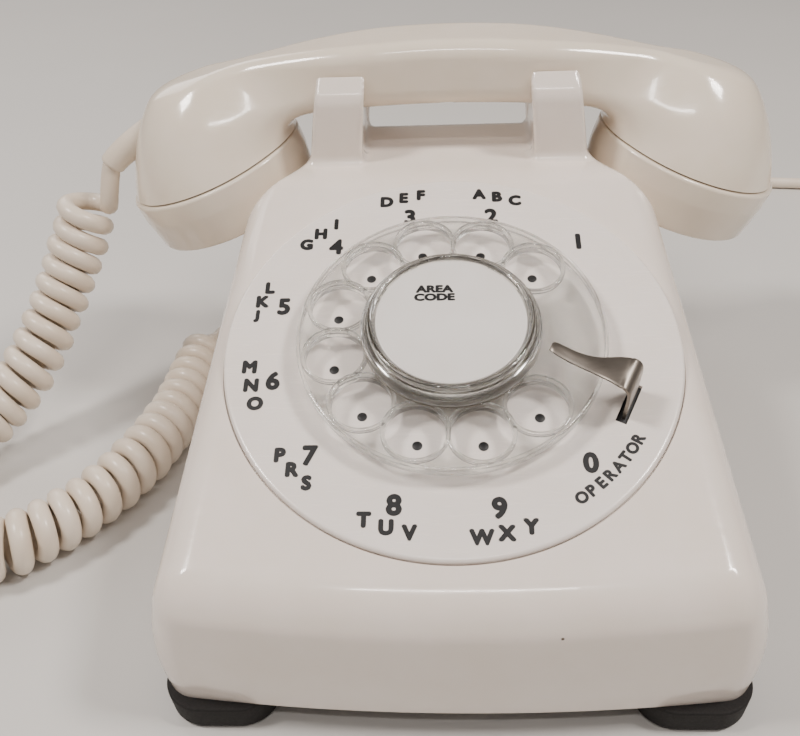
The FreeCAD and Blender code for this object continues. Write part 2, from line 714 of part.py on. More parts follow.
def dial_hub():
    ring = turned("HubRing", (
        ("card_radius + 0.2", "wheel_rim_high + 0.2"), ("hub_radius", "wheel_rim_high + 0.2"),
        ("hub_radius", "hub_high - 1.5"), ("hub_radius - 1.5", "hub_high"),
        ("card_radius + 0.2", "hub_high"),
    ))
    keep(ring, "hub_ring", dial_frame())
    holder = turned("CardHolder", (
        ("0", "wheel_high + 0.1"), ("card_radius - 0.4", "wheel_high + 0.1"),
        ("card_radius - 0.4", "wheel_rim_high + 0.1"), ("hub_radius - 0.8", "wheel_rim_high + 0.1"),
        ("hub_radius - 0.8", "wheel_rim_high + 0.2"), ("card_radius", "wheel_rim_high + 0.2"),
        ("card_radius", "hub_high - 1.6"), ("0", "hub_high - 1.6"),
    ))
    keep(holder, "card_holder", dial_frame())
    keep(cylinder("card_radius", "0.8", z="hub_high - 1.5"), "number_card", dial_frame())


def gear(teeth, low, high, bore, phase):
    """A spur gear with thin straight-sided teeth, so that a pair runs with backlash."""
    count = int(num(teeth))
    pitch = num("tooth_size") * count / 2
    add, root = 0.7 * num("tooth_size"), 0.95 * num("tooth_size")
    tip_half, root_half = 0.14 * math.pi / count, 0.36 * math.pi / count
    points = []
    for tooth in range(count):
        middle = 2 * math.pi * tooth / count + math.radians(phase)
        for turn, radius in ((-root_half, pitch - root), (-tip_half, pitch + add),
                             (tip_half, pitch + add), (root_half, pitch - root)):
            angle = middle + turn
            points.append(Vector(radius * math.cos(angle), radius * math.sin(angle), num(low)))
    face = Part.Face(Part.makePolygon(points + points[:1]))
    solid = face.extrude(Vector(0, 0, num(high) - num(low)))
    if num(bore):
        solid = solid.cut(Part.makeCylinder(num(bore), 60, Vector(0, 0, -50)))
    thing = doc.addObject("Part::Feature", "Gear")
    thing.Shape = solid
    return thing


IDLER = polar("tooth_size * (drive_teeth + pinion_teeth) / 2", "idler_bearing")
HOP = polar("tooth_size * (idler_teeth + governor_teeth) / 2", "governor_bearing")
GOVERNOR = (f"{IDLER[0]} + {HOP[0]}", f"{IDLER[1]} + {HOP[1]}")


def meshed(first_teeth, first_phase, second_teeth, bearing):
    """The phase that puts a gap of the second gear on a tooth of the first one."""
    first_step = 360.0 / num(first_teeth)
    second_step = 360.0 / num(second_teeth)
    into = (num(bearing) - first_phase) % first_step / first_step
    return num(bearing) + 180 + into * second_step + second_step / 2


def dial_mechanism():
    local = dial_frame()
    plates = [cylinder("mechanism_radius", "frame_thick", z=level) for level in ("frame_high", "frame_low")]
    pillars = []
    for angle in ("60", "130", "316"):
        x, y = polar("mechanism_radius - 4", angle)
        pillars.append(cylinder("2.5", "-frame_low - plate_thick", x, y, "frame_low"))
    holes = [cylinder("shaft_radius + run_clear", "50", z="-40")]
    for x, y in (IDLER, GOVERNOR):
        holes.append(cylinder("pin_radius - 0.3 + run_clear", "50", x, y, "-40"))
    keep(cut(fuse(*plates, *pillars), *holes), "dial_frame", local)

    keep(fuse(cylinder("shaft_radius", "wheel_high - frame_low + 1.5", z="frame_low - 1.5"),
              cylinder("shaft_radius + 2.4", "wheel_low + 4.5", z="-4.6")), "dial_shaft", local)
    drive = gear("drive_teeth", "-12", "-10", "shaft_radius", 0)
    keep(drive, "drive_gear", local)
    cam = cut(cylinder("8", "2", z="-22"), cylinder("shaft_radius", "4", z="-23"),
              *[cylinder("1.2", "4", *polar("8.2", f"{60 + 24 * i}"), "-23") for i in range(10)])
    keep(cam, "pulse_cam", local)

    phase = meshed("drive_teeth", 0, "pinion_teeth", "idler_bearing")
    where_idler = local.multiply(Placement(at(*IDLER, "0"), Rotation()))
    pinion = gear("pinion_teeth", "-12.6", "-9.4", "0", phase)
    wheel = gear("idler_teeth", "-16", "-14.4", "0", 0)
    axle = cylinder("pin_radius - 0.3", "29", z="frame_low - 0.6")
    keep(fuse(pinion, wheel, axle), "idler_gear", where_idler)

    phase = meshed("idler_teeth", 0, "governor_teeth", "governor_bearing")
    where_governor = local.multiply(Placement(at(*GOVERNOR, "0"), Rotation()))
    small = gear("governor_teeth", "-16.6", "-13.8", "0", phase)
    axle = cylinder("pin_radius - 0.3", "29", z="frame_low - 0.6")
    keep(fuse(small, axle), "governor_shaft", where_governor)
    halves = []
    for side in (-1, 1):
        disc = cut(cylinder("8.4", "7", z="-29"), cylinder("pin_radius - 0.3", "9", z="-30"))
        window = block("0.8", "12", "-12", "12", "-31", "-20")
        if side < 0:
            window = block("-12", "-0.8", "-12", "12", "-31", "-20")
        halves.append(common(disc, window))
    keep(group(*halves), "governor_weights", where_governor)
    cup = cut(cylinder("10.4", "12", z="-32.4"), cylinder("9.2", "12", z="-31.4"),
              cylinder("3", "6", z="-34"))
    keep(cup, "governor_cup", where_governor)

    spring = cut(cylinder("8", "7", z="-32.1"), cylinder("5", "9", z="-33"))
    keep(spring, "return_spring", local)
    contacts = fuse(block("-11", "11", "9.2", "11.4", "-32.4", "-19"),
                    block("-4", "9", "11.4", "16", "-32.4", "-23"))
    keep(contacts, "pulse_contacts", local)
    legs = []
    for side in (-1, 1):
        x = f"{side} * (mechanism_radius - 8)"
        legs.append(block(f"{x} - 1", f"{x} + 1", "-5", "5", "-80", "frame_low"))
    below = block("-200", "200", "-200", "200", "-60", FLOOR)
    legs = carry(fuse(*legs), local)
    keep(cut(legs, below), "dial_bracket")


# ---- ringer, network and hookswitch --------------------------------------------------

def ringer():
    gong_y = [f"gong_middle + {side} * gong_pitch / 2" for side in (-1, 1)]
    tall = f"gong_rise + gong_height - 3 - ({FLOOR})"
    posts = [cylinder("3", tall, "gong_side", y, FLOOR) for y in gong_y]
    arm = block("gong_side - 3", "gong_side + 3", gong_y[0], gong_y[1], FLOOR, f"{FLOOR} + 2")
    deck = block("gong_side - 3", "-3", "gong_middle - 22", "gong_middle + 22", FLOOR, f"{FLOOR} + 2")
    slot = block("gong_side - 20", "gong_side - 12", "0", "80", FLOOR, f"{FLOOR} + 3")
    pivot = cylinder("pin_radius", "19", "clapper_side", "gong_middle", FLOOR)
    keep(cut(fuse(arm, deck, *posts, pivot), slot), "ringer_frame")
    windings = []
    for side in (-1, 1):
        y = f"gong_middle + {side} * winding_pitch / 2"
        windings.append(cylinder("winding_radius", "winding_height", "winding_side", y, f"{FLOOR} + 2.1"))
    keep(group(*windings), "ringer_coils")
    for name, y in zip(("low_gong", "high_gong"), gong_y):
        gong = turned("Gong", (
            ("3.1", "gong_height - 3"), ("gong_radius - 7", "gong_height - 3"),
            ("gong_radius - 3", "gong_height - 7"), ("gong_radius - 1.2", "0"), ("gong_radius", "0"),
            ("gong_radius - 1.4", "gong_height - 5.4"), ("gong_radius - 6.4", "gong_height - 1.5"),
            ("3.1", "gong_height - 1.5"),
        ))
        keep(place(gong, "gong_side", y, "gong_rise"), name)
    screws = [cylinder("4.5", "1.8", "gong_side", y, "gong_rise + gong_height - 1.4") for y in gong_y]
    keep(group(*screws), "gong_screws")
    bushing = cylinder("pin_radius + 2", "5", "clapper_side", "gong_middle", "gong_rise - 1")
    rod = block("gong_side", "clapper_side", "gong_middle - 0.8", "gong_middle + 0.8",
                "gong_rise", "gong_rise + 1.6")
    armature = block("clapper_side", "clapper_side + 18", "gong_middle - 1", "gong_middle + 1",
                     "gong_rise - 1", "gong_rise + 3")
    striker = cylinder("3.6", "5", "gong_side", "gong_middle", "gong_rise - 1.5")
    bore = cylinder("pin_radius + run_clear", "20", "clapper_side", "gong_middle", "gong_rise - 9")
    keep(cut(fuse(bushing, rod, armature, striker), bore), "clapper")
    along_x = (0, 1, 0)
    wheel = cylinder("volume_radius", "volume_thick", "volume_side - volume_thick / 2",
                     "gong_middle", "volume_rise", along_x, "90")
    bore = cylinder("pin_radius + run_clear", "9", "volume_side - 4",
                    "gong_middle", "volume_rise", along_x, "90")
    keep(cut(wheel, bore), "volume_wheel")
    reach = "(volume_thick / 2 + 0.7)"
    cheeks = [block(low, f"{low} + 1", "gong_middle - 4", "gong_middle + 4", FLOOR, "volume_rise + 3")
              for low in (f"volume_side - {reach} - 1", f"volume_side + {reach}")]
    axle = cylinder("pin_radius", f"2 * {reach} + 2", f"volume_side - {reach} - 1",
                    "gong_middle", "volume_rise", along_x, "90")
    keep(fuse(*cheeks, axle), "volume_bracket")


def network():
    lid = f"{FLOOR} + can_height"
    keep(block("can_left", "can_right", "can_front", "can_rear", FLOOR, lid), "network_can")
    keep(block("can_left + 4", "can_right - 4", "can_front + 22", "can_rear - 22", lid,
               f"{lid} + board_height"), "terminal_board")
    screws = []
    for row in range(2):
        for column in range(5):
            x, y = f"can_left + {10 + 10 * column}", f"can_front + {30 + 22 * row}"
            screws.append(cylinder("2.6", "1.6", x, y, f"{lid} + board_height"))
    keep(group(*screws), "terminal_screws")


def hinge_rod(radius, extra):
    """A rod along the lever's hinge line, longer than its tube by the extra at each end."""
    return cylinder(radius, f"2 * (lever_half_length + {extra})", f"-lever_half_length - {extra}",
                    "lever_back", "lever_rise", (0, 1, 0), "90")


def hookswitch():
    tower = block("1", "can_left - 2.6", "lever_back - 10.5", "lever_back + 8.5", FLOOR, "lever_rise - 9")
    bar = block("-lever_half_length - 3", "lever_half_length + 3", "lever_back - 6",
                "lever_back + 6", "lever_rise - 9", "lever_rise - 7")
    cheeks = []
    for side in (-1, 1):
        inner = f"{side} * (lever_half_length + 1.7)"
        cheeks.append(block(f"{inner} - 1.3", f"{inner} + 1.3", "lever_back - 5", "lever_back + 5",
                            "lever_rise - 9", "lever_rise + 4"))
    keep(cut(fuse(tower, bar, *cheeks), hinge_rod("pin_radius", "3")), "hookswitch_bracket")
    keep(hinge_rod("pin_radius", "3"), "hookswitch_pin")
    arms = [block(f"{side} * plunger_side - 3", f"{side} * plunger_side + 3", "lever_back",
                  "handset_back + 3", "lever_rise - 1", "plunger_low - 0.3") for side in (-1, 1)]
    tube = hinge_rod("tube_radius", "0")
    keep(cut(fuse(tube, *arms), hinge_rod("pin_radius + run_clear", "4")), "hookswitch_lever")
    pile = block("-12", "-1", "lever_back - 12", "lever_back - 6.2", "lever_rise - 20", "lever_rise - 2")
    foot = block("-12", "1", "lever_back - 12", "lever_back - 6.2", "lever_rise - 22", "lever_rise - 20")
    keep(fuse(pile, foot), "hookswitch_contacts")
    for side, name in ((-1, "left_plunger"), (1, "right_plunger")):
        x = f"{side} * plunger_side"
        stem = cylinder("plunger_radius", "plunger_high - plunger_low", x, "handset_back", "plunger_low")
        flange = cylinder("plunger_flange", "1.5", x, "handset_back", "plunger_low + 1.5")
        keep(fuse(stem, flange), name)


# ---- handset ------------------------------------------------------------------------

def handle_bar():
    body = new_body("HandleBar")
    sketch = new_sketch(body, "XZ_Plane")
    outer, centre = num("handle_arc"), num("handle_top - handle_arc")
    inner, reach = num("handle_arc - handle_thick"), num("handle_half_length")
    spots = []
    for radius in (outer, inner):
        rise = centre + math.sqrt(radius ** 2 - reach ** 2)
        spots.append([Vector(-reach, rise, 0), Vector(0, centre + radius, 0), Vector(reach, rise, 0)])
    top, under = [sketch.addGeometry(Part.Arc(*three), False) for three in spots]
    right = sketch.addGeometry(Part.LineSegment(spots[0][2], spots[1][2]), False)
    left = sketch.addGeometry(Part.LineSegment(spots[1][0], spots[0][0]), False)
    ends = {}
    for arc, three in ((top, spots[0]), (under, spots[1])):
        start = sketch.getPoint(arc, 1)
        ends[arc] = (1, 2) if start.x < 0 else (2, 1)
    joins = ((top, ends[top][1], right, 1), (under, ends[under][1], right, 2),
             (under, ends[under][0], left, 1), (top, ends[top][0], left, 2))
    for one, point, other, other_point in joins:
        sketch.addConstraint(Sketcher.Constraint("Coincident", one, point, other, other_point))
    for arc, text in ((top, "handle_arc"), (under, "handle_arc - handle_thick")):
        pin_point(sketch, arc, 3, "0", "handle_top - handle_arc")
        index = sketch.addConstraint(Sketcher.Constraint("Radius", arc, num(text)))
        bind(sketch, f"Constraints[{index}]", text)
    for line, text in ((right, "handle_half_length"), (left, "-handle_half_length")):
        sketch.addConstraint(Sketcher.Constraint("Vertical", line))
        tie = Sketcher.Constraint("DistanceX", -1, 1, line, 1, num(text))
        bind(sketch, f"Constraints[{sketch.addConstraint(tie)}]", text)
    pad(body, sketch, "handle_depth", middle=True)
    rounded(body, "handle_edge", lambda edge: edge.BoundBox.XLength > 60)
    place(body, "0", "handset_back", "0")
    return body


def relief_frame():
    """The strain relief's place: it points at the first point of the curly cord."""
    end = Vector(*HANDSET_CORD_POINTS[0])
    way = (Vector(*HANDSET_CORD_POINTS[1]) - end).normalize()
    back = num("relief_length + seat_clear")
    return Placement(end - way * back, Rotation(Vector(0, 0, 1), way))


def relief_cone():
    return carry(cone("relief_wide", "relief_narrow", "relief_length"), relief_frame())


def cup_hollow(side):
    wide = cylinder("cup_hollow", "cup_hollow_height + neck_height + 4", z="-neck_height - 4")
    deep = cylinder("contact_hollow", "contact_hollow_height + neck_height", z="-neck_height")
    return carry(fuse(wide, deep), cup_frame(side))


def handset():
    cups = []
    hollows = []
    for side in (-1, 1):
        cup = turned("Cup", (
            ("0", "cup_height"), ("cup_radius - 22", "cup_height"), ("cup_radius - 14.5", "cup_height - 5"),
            ("cup_radius - 6", "12"), ("cup_radius - 1", "4"), ("cup_radius", "0"), ("neck_radius", "0"),
            ("neck_radius", "-neck_height"), ("0", "-neck_height"),
        ))
        cups.append(carry(cup, cup_frame(side)))
        hollows.append(cup_hollow(side))
    shell = cut(fuse(handle_bar(), *cups), *hollows, relief_cone())
    keep(shell, "handset_handle")
    keep(cut(relief_cone(), cup_hollow(-1)), "handset_strain_relief")
    for side, name in ((-1, "transmitter"), (1, "receiver")):
        cap = turned("Cap", (
            ("neck_radius + 0.3", "0"), ("cup_radius", "0"), ("cup_radius", "-cap_height + 4"),
            ("cup_radius - 3.5", "-cap_height"), ("0", "-cap_height"), ("0", "-cap_height + cap_face"),
            ("cup_hollow - 0.4", "-cap_height + cap_face"), ("neck_radius + 0.3", "-neck_height - 0.6"),
        ))
        holes = [cylinder("cap_hole", "8", z="-cap_height - 2")]
        for index in range(8):
            x, y = polar("cap_hole_circle", f"{45 * index}")
            holes.append(cylinder("cap_hole", "8", x, y, "-cap_height - 2"))
        keep(cut(cap, *holes), f"{name}_cap", cup_frame(side))
        low = "-cap_height + cap_face + 0.3"
        capsule = turned("Capsule", (
            ("0", low), ("cup_hollow - 4", low), ("cup_hollow - unit_clear", "-cap_height + cap_face + 4"),
            ("cup_hollow - unit_clear", "3"), ("0", "3"),
        ))
        keep(capsule, f"{name}_unit", cup_frame(side))
        cup = turned("Contact", (
            ("0", "3.2"), ("contact_hollow - unit_clear", "3.2"),
            ("contact_hollow - unit_clear", "contact_hollow_height - 0.5"),
            ("0", "contact_hollow_height - 0.5"),
        ))
        keep(cup, f"{name}_contacts", cup_frame(side))


# ---- cords --------------------------------------------------------------------------

def cord_path(points):
    """Straight runs joined by tangent arcs, each as large as its two runs allow."""
    spots = [Vector(*point) for point in points]
    edges, radii, length = [], [], 0.0
    start = spots[0]
    for before, corner, after in zip(spots, spots[1:], spots[2:]):
        arriving, leaving = corner - before, after - corner
        shorter = min(arriving.Length, leaving.Length)
        arriving.normalize()
        leaving.normalize()
        turn = arriving.getAngle(leaving)
        trim = 0.45 * shorter
        radii.append(trim / math.tan(turn / 2))
        one, two = corner - arriving * trim, corner + leaving * trim
        inward = (leaving - arriving).normalize()
        centre = corner + inward * (radii[-1] / math.cos(turn / 2))
        middle = centre - inward * radii[-1]
        edges.append(Part.LineSegment(start, one).toShape())
        edges.append(Part.Arc(one, middle, two).toShape())
        length += (one - start).Length + radii[-1] * turn
        start = two
    edges.append(Part.LineSegment(start, spots[-1]).toShape())
    length += (spots[-1] - start).Length
    return Part.Wire(edges), radii, length


def cord_tube(name, points, diameter):
    path, radii, length = cord_path(points)
    spots = [Vector(*point) for point in points]
    ring = Part.makeCircle(diameter / 2, spots[0], spots[1] - spots[0])
    tube = path.makePipeShell([Part.Wire([ring])], True, False)
    share = tube.Volume / (math.pi * diameter ** 2 / 4 * length)
    print(f"{name}: length {length:.1f}, volume share {share:.4f}, radii", [round(r, 1) for r in radii])
    thing = doc.addObject("Part::Feature", name)
    thing.Shape = tube
    return thing


def coil_ring(radius, height, z):
    """A round piece about the middle line of the put-away turns."""
    return cylinder(radius, height, "line_coil_side", "line_coil_back", z)


def cords():
    keep(cord_tube("handset_cord", HANDSET_CORD_POINTS, num("curly_cord")), "handset_cord")
    keep(carry(cylinder("grommet_radius", "grommet_length"), curly_entry_frame()), "handset_cord_grommet")
    outer = "line_coil_radius + line_cord + 0.1"
    inner = "line_coil_radius - line_cord - 0.1"
    turns = cut(coil_ring(outer, "line_coil_layers * line_cord + 0.4", "0.1"), coil_ring(inner, "60", "-5"))
    keep(turns, "line_cord_coil")
    end = (num("line_coil_side"), num("line_coil_back + line_coil_radius + line_cord / 2"), num("cord_lie"))
    tube = cord_tube("LineCord", LINE_CORD_POINTS + (end,), num("line_cord"))
    keep(cut(tube, coil_ring(outer, "40", "0")), "line_cord")
    keep(carry(cylinder("line_grommet", "line_grommet_length"), line_entry_frame()), "line_cord_grommet")
    tail_x = "line_coil_side + line_coil_radius + line_cord / 2"
    tail = cylinder("line_cord / 2", "line_coil_radius + 2", tail_x, "line_coil_back", "cord_lie",
                    (1, 0, 0), "90")
    keep(cut(tail, coil_ring(outer, "40", "0")), "line_cord_tail")
    plug_rear = "line_coil_back - line_coil_radius - 2"
    body = block(f"{tail_x} - plug_width / 2", f"{tail_x} + plug_width / 2",
                 f"{plug_rear} - plug_length", plug_rear, "0.2", "8.4")
    latch = block(f"{tail_x} - 2", f"{tail_x} + 2", f"{plug_rear} - plug_length + 3",
                  f"{plug_rear} - 3", "8.4", "9.6")
    keep(fuse(body, latch), "line_plug")


def check_and_write():
    doc.recompute()
    faults = [thing.Name for thing in doc.Objects
              if "Invalid" in thing.State or "Error" in thing.State]
    for thing in nodes:
        if thing.Shape.isNull() or not thing.Shape.isValid() or not thing.Shape.Solids:
            faults.append(thing.Label)
    if faults:
        raise SystemExit("failed: " + ", ".join(faults))
    os.makedirs("parts", exist_ok=True)
    for thing in nodes:
        thing.Shape.exportStep(f"parts/{thing.Label}.step")
        print(f"{thing.Label}: {len(thing.Shape.Solids)} solid, {thing.Shape.Volume:.0f} mm3")


housing()
base_plate()
feet()
housing_screws()
number_plate()
finger_stop()
finger_wheel()
dial_hub()
dial_mechanism()
ringer()
network()
hookswitch()
handset()
cords()
check_and_write()
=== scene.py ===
import math

import bmesh
import bpy
import numpy as np
from mathutils import Matrix, Vector


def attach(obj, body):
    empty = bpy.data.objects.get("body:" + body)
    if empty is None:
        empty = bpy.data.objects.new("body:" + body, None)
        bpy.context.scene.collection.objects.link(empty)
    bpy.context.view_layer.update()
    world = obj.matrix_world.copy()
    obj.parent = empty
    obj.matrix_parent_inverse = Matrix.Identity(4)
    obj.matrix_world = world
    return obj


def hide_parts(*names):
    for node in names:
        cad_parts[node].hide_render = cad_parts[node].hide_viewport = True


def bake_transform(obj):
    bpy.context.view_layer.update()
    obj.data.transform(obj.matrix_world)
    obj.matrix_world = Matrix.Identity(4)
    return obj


# A desk telephone with a rotary dial. The CAD model holds every solid of it; this script
# gives the ones that show their moulded, turned and bent forms, and every one its finish.
# Forms are worked out in millimetres and brought to metres when they are placed.

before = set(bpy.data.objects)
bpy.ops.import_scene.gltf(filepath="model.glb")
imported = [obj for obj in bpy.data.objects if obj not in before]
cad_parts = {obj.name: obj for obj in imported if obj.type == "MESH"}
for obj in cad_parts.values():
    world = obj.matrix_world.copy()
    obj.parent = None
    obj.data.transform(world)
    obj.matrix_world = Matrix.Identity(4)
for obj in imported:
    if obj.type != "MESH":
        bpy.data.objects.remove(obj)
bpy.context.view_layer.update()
MM = 0.001
shift = Matrix.Translation

# The dial's slope and axes, the place of the handset and its cups, and the housing's main
# sizes, in millimetres.
TILT = math.radians(20)
DIAL_PLACE = Vector((0.0, -34.5, 77.0))
DIAL = shift(DIAL_PLACE) @ Matrix.Rotation(TILT, 4, "X")
HANDSET_BACK = 61.5
CUP_SIDE, CUP_RISE, CUP_TILT = 81.4, 88.8, math.radians(20)
CUP_RADIUS, DOME_RISE = 32.2, 34.4
BAR_TOP, TOP_ARC, BAR_UNDER, UNDER_ARC = 133.6, 315.0, 113.0, 456.0
SEAM = 3.2
WALL, FLOOR_RISE = 2.6, 9.0
BELLY_RISE, HALF_WIDTH, HALF_DEPTH = 27.0, 78.8, 106.5
PLATFORM_RISE = 98.0
SIDE_LEAN, FRONT_LEAN, REAR_LEAN = (math.tan(math.radians(lean)) for lean in (13.2, 2.0, 21.0))
PLUNGER_SIDE = 37.0
FLOOR_REACH = 3.0  # metres


# ---- camera, light and floor

def make_camera():
    lens = bpy.data.cameras.new("camera")
    lens.lens, lens.sensor_width, lens.clip_start = 40.81, 36.0, 0.01
    camera = loose_object("camera", lens)
    right, up = Vector((0.9986, 0.0342, -0.0399)), Vector((0.0118, 0.5945, 0.8040))
    back = right.cross(up).normalized()
    right = up.cross(back).normalized()
    up = back.cross(right)
    turn = Matrix((right, up, back)).transposed().to_4x4()
    camera.matrix_world = shift(Vector((-1.3, -239.3, 220.5)) * MM) @ turn
    bpy.context.scene.camera = camera


def add_light(name, place, aim, size, watts, colour):
    """A softbox that looks at the middle of the telephone, at the aim's height."""
    lamp = bpy.data.lights.new(name, "AREA")
    lamp.shape, lamp.size, lamp.size_y = "RECTANGLE", *size
    lamp.energy, lamp.color = watts, colour
    way = Vector((0, 0, aim)) - Vector(place)
    turn = way.to_track_quat("-Z", "Y").to_matrix().to_4x4()
    loose_object(name, lamp).matrix_world = shift(place) @ turn


def linear(code):
    """A hex sRGB colour as linear values."""
    parts = [int(code[k:k + 2], 16) / 255 for k in (0, 2, 4)]
    return tuple(c / 12.92 if c <= 0.04045 else ((c + 0.055) / 1.055) ** 2.4 for c in parts) + (1.0,)


def add(tree, kind, values=None, links=None, **settings):
    """A node with its settings, its sockets' own values and the sockets that feed it."""
    node = tree.nodes.new(kind)
    for name, value in settings.items():
        setattr(node, name, value)
    for name, value in (values or {}).items():
        node.inputs[name].default_value = value
    for name, source in (links or {}).items():
        tree.links.new(source, node.inputs[name])
    return node


def empty_tree(owner):
    owner.use_nodes = True
    owner.node_tree.nodes.clear()
    return owner.node_tree


def make_studio():
    world = bpy.context.scene.world = bpy.data.worlds.new("studio")
    tree = empty_tree(world)
    sky = add(tree, "ShaderNodeBackground", {"Color": linear("ECE2DB"), "Strength": 0.36})
    add(tree, "ShaderNodeOutputWorld", links={"Surface": sky.outputs[0]})
    for name, place, aim, size, watts, colour in (
        ("left_softbox", (-0.66, -0.14, 1.05), 0.05, (0.22, 0.22), 9.4, (1.0, 0.94, 0.89)),
        ("right_softbox", (0.66, -0.14, 1.05), 0.05, (0.22, 0.22), 10.2, (1.0, 0.94, 0.89)),
        ("front_strip", (0.02, -0.6, 1.15), 0.06, (0.39, 0.06), 2.8, (1.0, 0.95, 0.91)),
        ("back_fill", (-0.7, 0.9, 0.7), 0.06, (0.6, 0.6), 3.4, (1.0, 0.96, 0.93)),
    ):
        add_light(name, place, aim, size, watts, colour)
    mesh = bpy.data.meshes.new("table")
    mesh.from_pydata([(x * FLOOR_REACH, y * FLOOR_REACH, 0) for x, y in ((-1, -1), (1, -1), (1, 1), (-1, 1))],
                     [], [(0, 1, 2, 3)])
    loose_object("table", mesh)
    material, tree, where = new_material("pale_table_top")
    tone = mixed(tree, "C9C7C3", "D1CFCC", noise(tree, where, 1000 / 6, 3.0))
    mesh.materials.append(finish_material(material, {"Roughness": 0.55}, {"Base Color": tone}))


# ---- finishes

def new_material(name):
    """An empty finish, its node tree and the object's own coordinates."""
    material = bpy.data.materials.new(name)
    tree = empty_tree(material)
    return material, tree, add(tree, "ShaderNodeTexCoord").outputs["Object"]


def finish_material(material, values, links):
    """The shader and output of a finish."""
    tree = material.node_tree
    shader = add(tree, "ShaderNodeBsdfPrincipled", values, links)
    add(tree, "ShaderNodeOutputMaterial", links={"Surface": shader.outputs[0]})
    return material


def noise(tree, where, size, detail, roughness=0.5):
    """Noise whose lumps are about the size in millimetres."""
    return add(tree, "ShaderNodeTexNoise",
               {"Scale": 1 / (size * MM), "Detail": detail, "Roughness": roughness},
               {"Vector": where}).outputs["Fac"]


def stretched(tree, where, scale, turn=(0.0, 0.0, 0.0)):
    return add(tree, "ShaderNodeMapping", {"Rotation": turn, "Scale": scale}, {"Vector": where}).outputs[0]


def mixed(tree, one, two, share):
    """The first colour with a share of the second."""
    return add(tree, "ShaderNodeMix", {"A": linear(one), "B": linear(two)}, {"Factor": share},
               data_type="RGBA").outputs[2]


def bumped(tree, height, strength, depth, **under):
    """The surface's direction as the height tilts it; the depth is in millimetres."""
    return add(tree, "ShaderNodeBump", {"Strength": strength, "Distance": depth * MM},
               {"Height": height, **under}).outputs[0]


def maths(tree, operation, *sources):
    """A number worked out from others."""
    return add(tree, "ShaderNodeMath", links=dict(enumerate(sources)), operation=operation).outputs[0]


def ramp(tree, source, low, high, dark=0.0, bright=1.0):
    """The source's values from low to high, drawn out to run from dark to bright."""
    return add(tree, "ShaderNodeMapRange",
               {"From Min": low, "From Max": high, "To Min": dark, "To Max": bright},
               {"Value": source}).outputs["Result"]


def moulded_plastic(name, code, shade, speck, roughness, speck_size=2.2, coat=0.35):
    """Polished ABS moulding: nearly even colour with age mottling, a few dark specks, faint
    rub marks that dull the gloss, and the slow waves that a polished mould leaves."""
    material, tree, where = new_material(name)
    aged = mixed(tree, code, shade, ramp(tree, noise(tree, where, 22, 3.0, 0.6), 0.35, 0.75, 0.0, 0.8))
    spots = add(tree, "ShaderNodeTexVoronoi", {"Scale": 1 / (26 * MM)}, {"Vector": where})
    inside = ramp(tree, spots.outputs["Distance"], 0.006 * speck_size, 0.010 * speck_size, 1.0, 0.0)
    pick = add(tree, "ShaderNodeSeparateColor", links={"Color": spots.outputs["Color"]})
    few = ramp(tree, pick.outputs[0], 0.60, 0.62)
    mark = maths(tree, "MULTIPLY", inside, few)
    speckled = add(tree, "ShaderNodeMix", {"B": linear(speck)}, {"Factor": mark, "A": aged}, data_type="RGBA")
    rub = noise(tree, stretched(tree, where, (1.0, 9.0, 3.0), (0.3, 0.2, 0.8)), 9, 6.0, 0.7)
    slow = bumped(tree, noise(tree, where, 14, 1.0), 0.10, 0.5)
    skin = bumped(tree, noise(tree, where, 0.9, 2.0), 0.05, 0.05, Normal=slow)
    return finish_material(material, {"IOR": 1.53, "Coat Weight": coat, "Coat Roughness": 0.05,
                                      "Subsurface Weight": 0.04, "Subsurface Radius": (0.004, 0.003, 0.002)},
                           {"Base Color": speckled.outputs[2], "Normal": skin,
                            "Roughness": ramp(tree, rub, 0.42, 0.78, roughness, roughness + 0.16)})


def clear_acrylic(name, tint="FEFEFD", clearness=0.8):
    """Cast acrylic: clear and bright at its edges, with hair scratches and finger smears."""
    material, tree, where = new_material(name)
    hair = noise(tree, stretched(tree, where, (1.0, 14.0, 1.0), (0.35, 0.0, 0.6)), 3, 5.0, 0.75)
    smear = noise(tree, where, 11, 3.0)
    dull = maths(tree, "ADD", ramp(tree, hair, 0.62, 0.75, 0.0, 0.09),
                 ramp(tree, smear, 0.5, 0.8, 0.01, 0.05))
    return finish_material(material, {"IOR": 1.49, "Transmission Weight": 1.0, "Alpha": clearness},
                           {"Base Color": mixed(tree, tint, "F1F4F2", smear), "Roughness": dull,
                            "Normal": bumped(tree, hair, 0.08, 0.03)})


def metal(name, code, other, roughness, grain=0.25, along=(1.0, 30.0, 1.0)):
    """Brushed or drawn metal: fine lines one way, a slightly uneven tone, worn brighter places."""
    material, tree, where = new_material(name)
    lines = noise(tree, stretched(tree, where, along), 4, 6.0, 0.7)
    tone = mixed(tree, code, other, ramp(tree, noise(tree, where, 8, 2.0), 0.3, 0.75))
    return finish_material(material, {"Metallic": 1.0},
                           {"Base Color": tone, "Normal": bumped(tree, lines, grain, 0.02),
                            "Roughness": ramp(tree, lines, 0.3, 0.75, roughness, roughness + 0.14)})


def soft_material(name, code, other, roughness, size, strength, coat=0.0):
    """Rubber, vinyl, paper, nylon or tape: a matt skin whose grain has a size in millimetres."""
    material, tree, where = new_material(name)
    grain = noise(tree, where, size, 4.0, 0.6)
    tone = mixed(tree, code, other, ramp(tree, noise(tree, where, 17, 2.0), 0.3, 0.7))
    return finish_material(material, {"IOR": 1.5, "Coat Weight": coat, "Coat Roughness": 0.2},
                           {"Base Color": tone, "Normal": bumped(tree, grain, strength, 0.12),
                            "Roughness": ramp(tree, grain, 0.3, 0.7, roughness, roughness + 0.12)})


# ---- making meshes

def around(radius, angle, height=0.0):
    """The place at an angle round the Z axis."""
    return Vector((radius * math.cos(angle), radius * math.sin(angle), height))


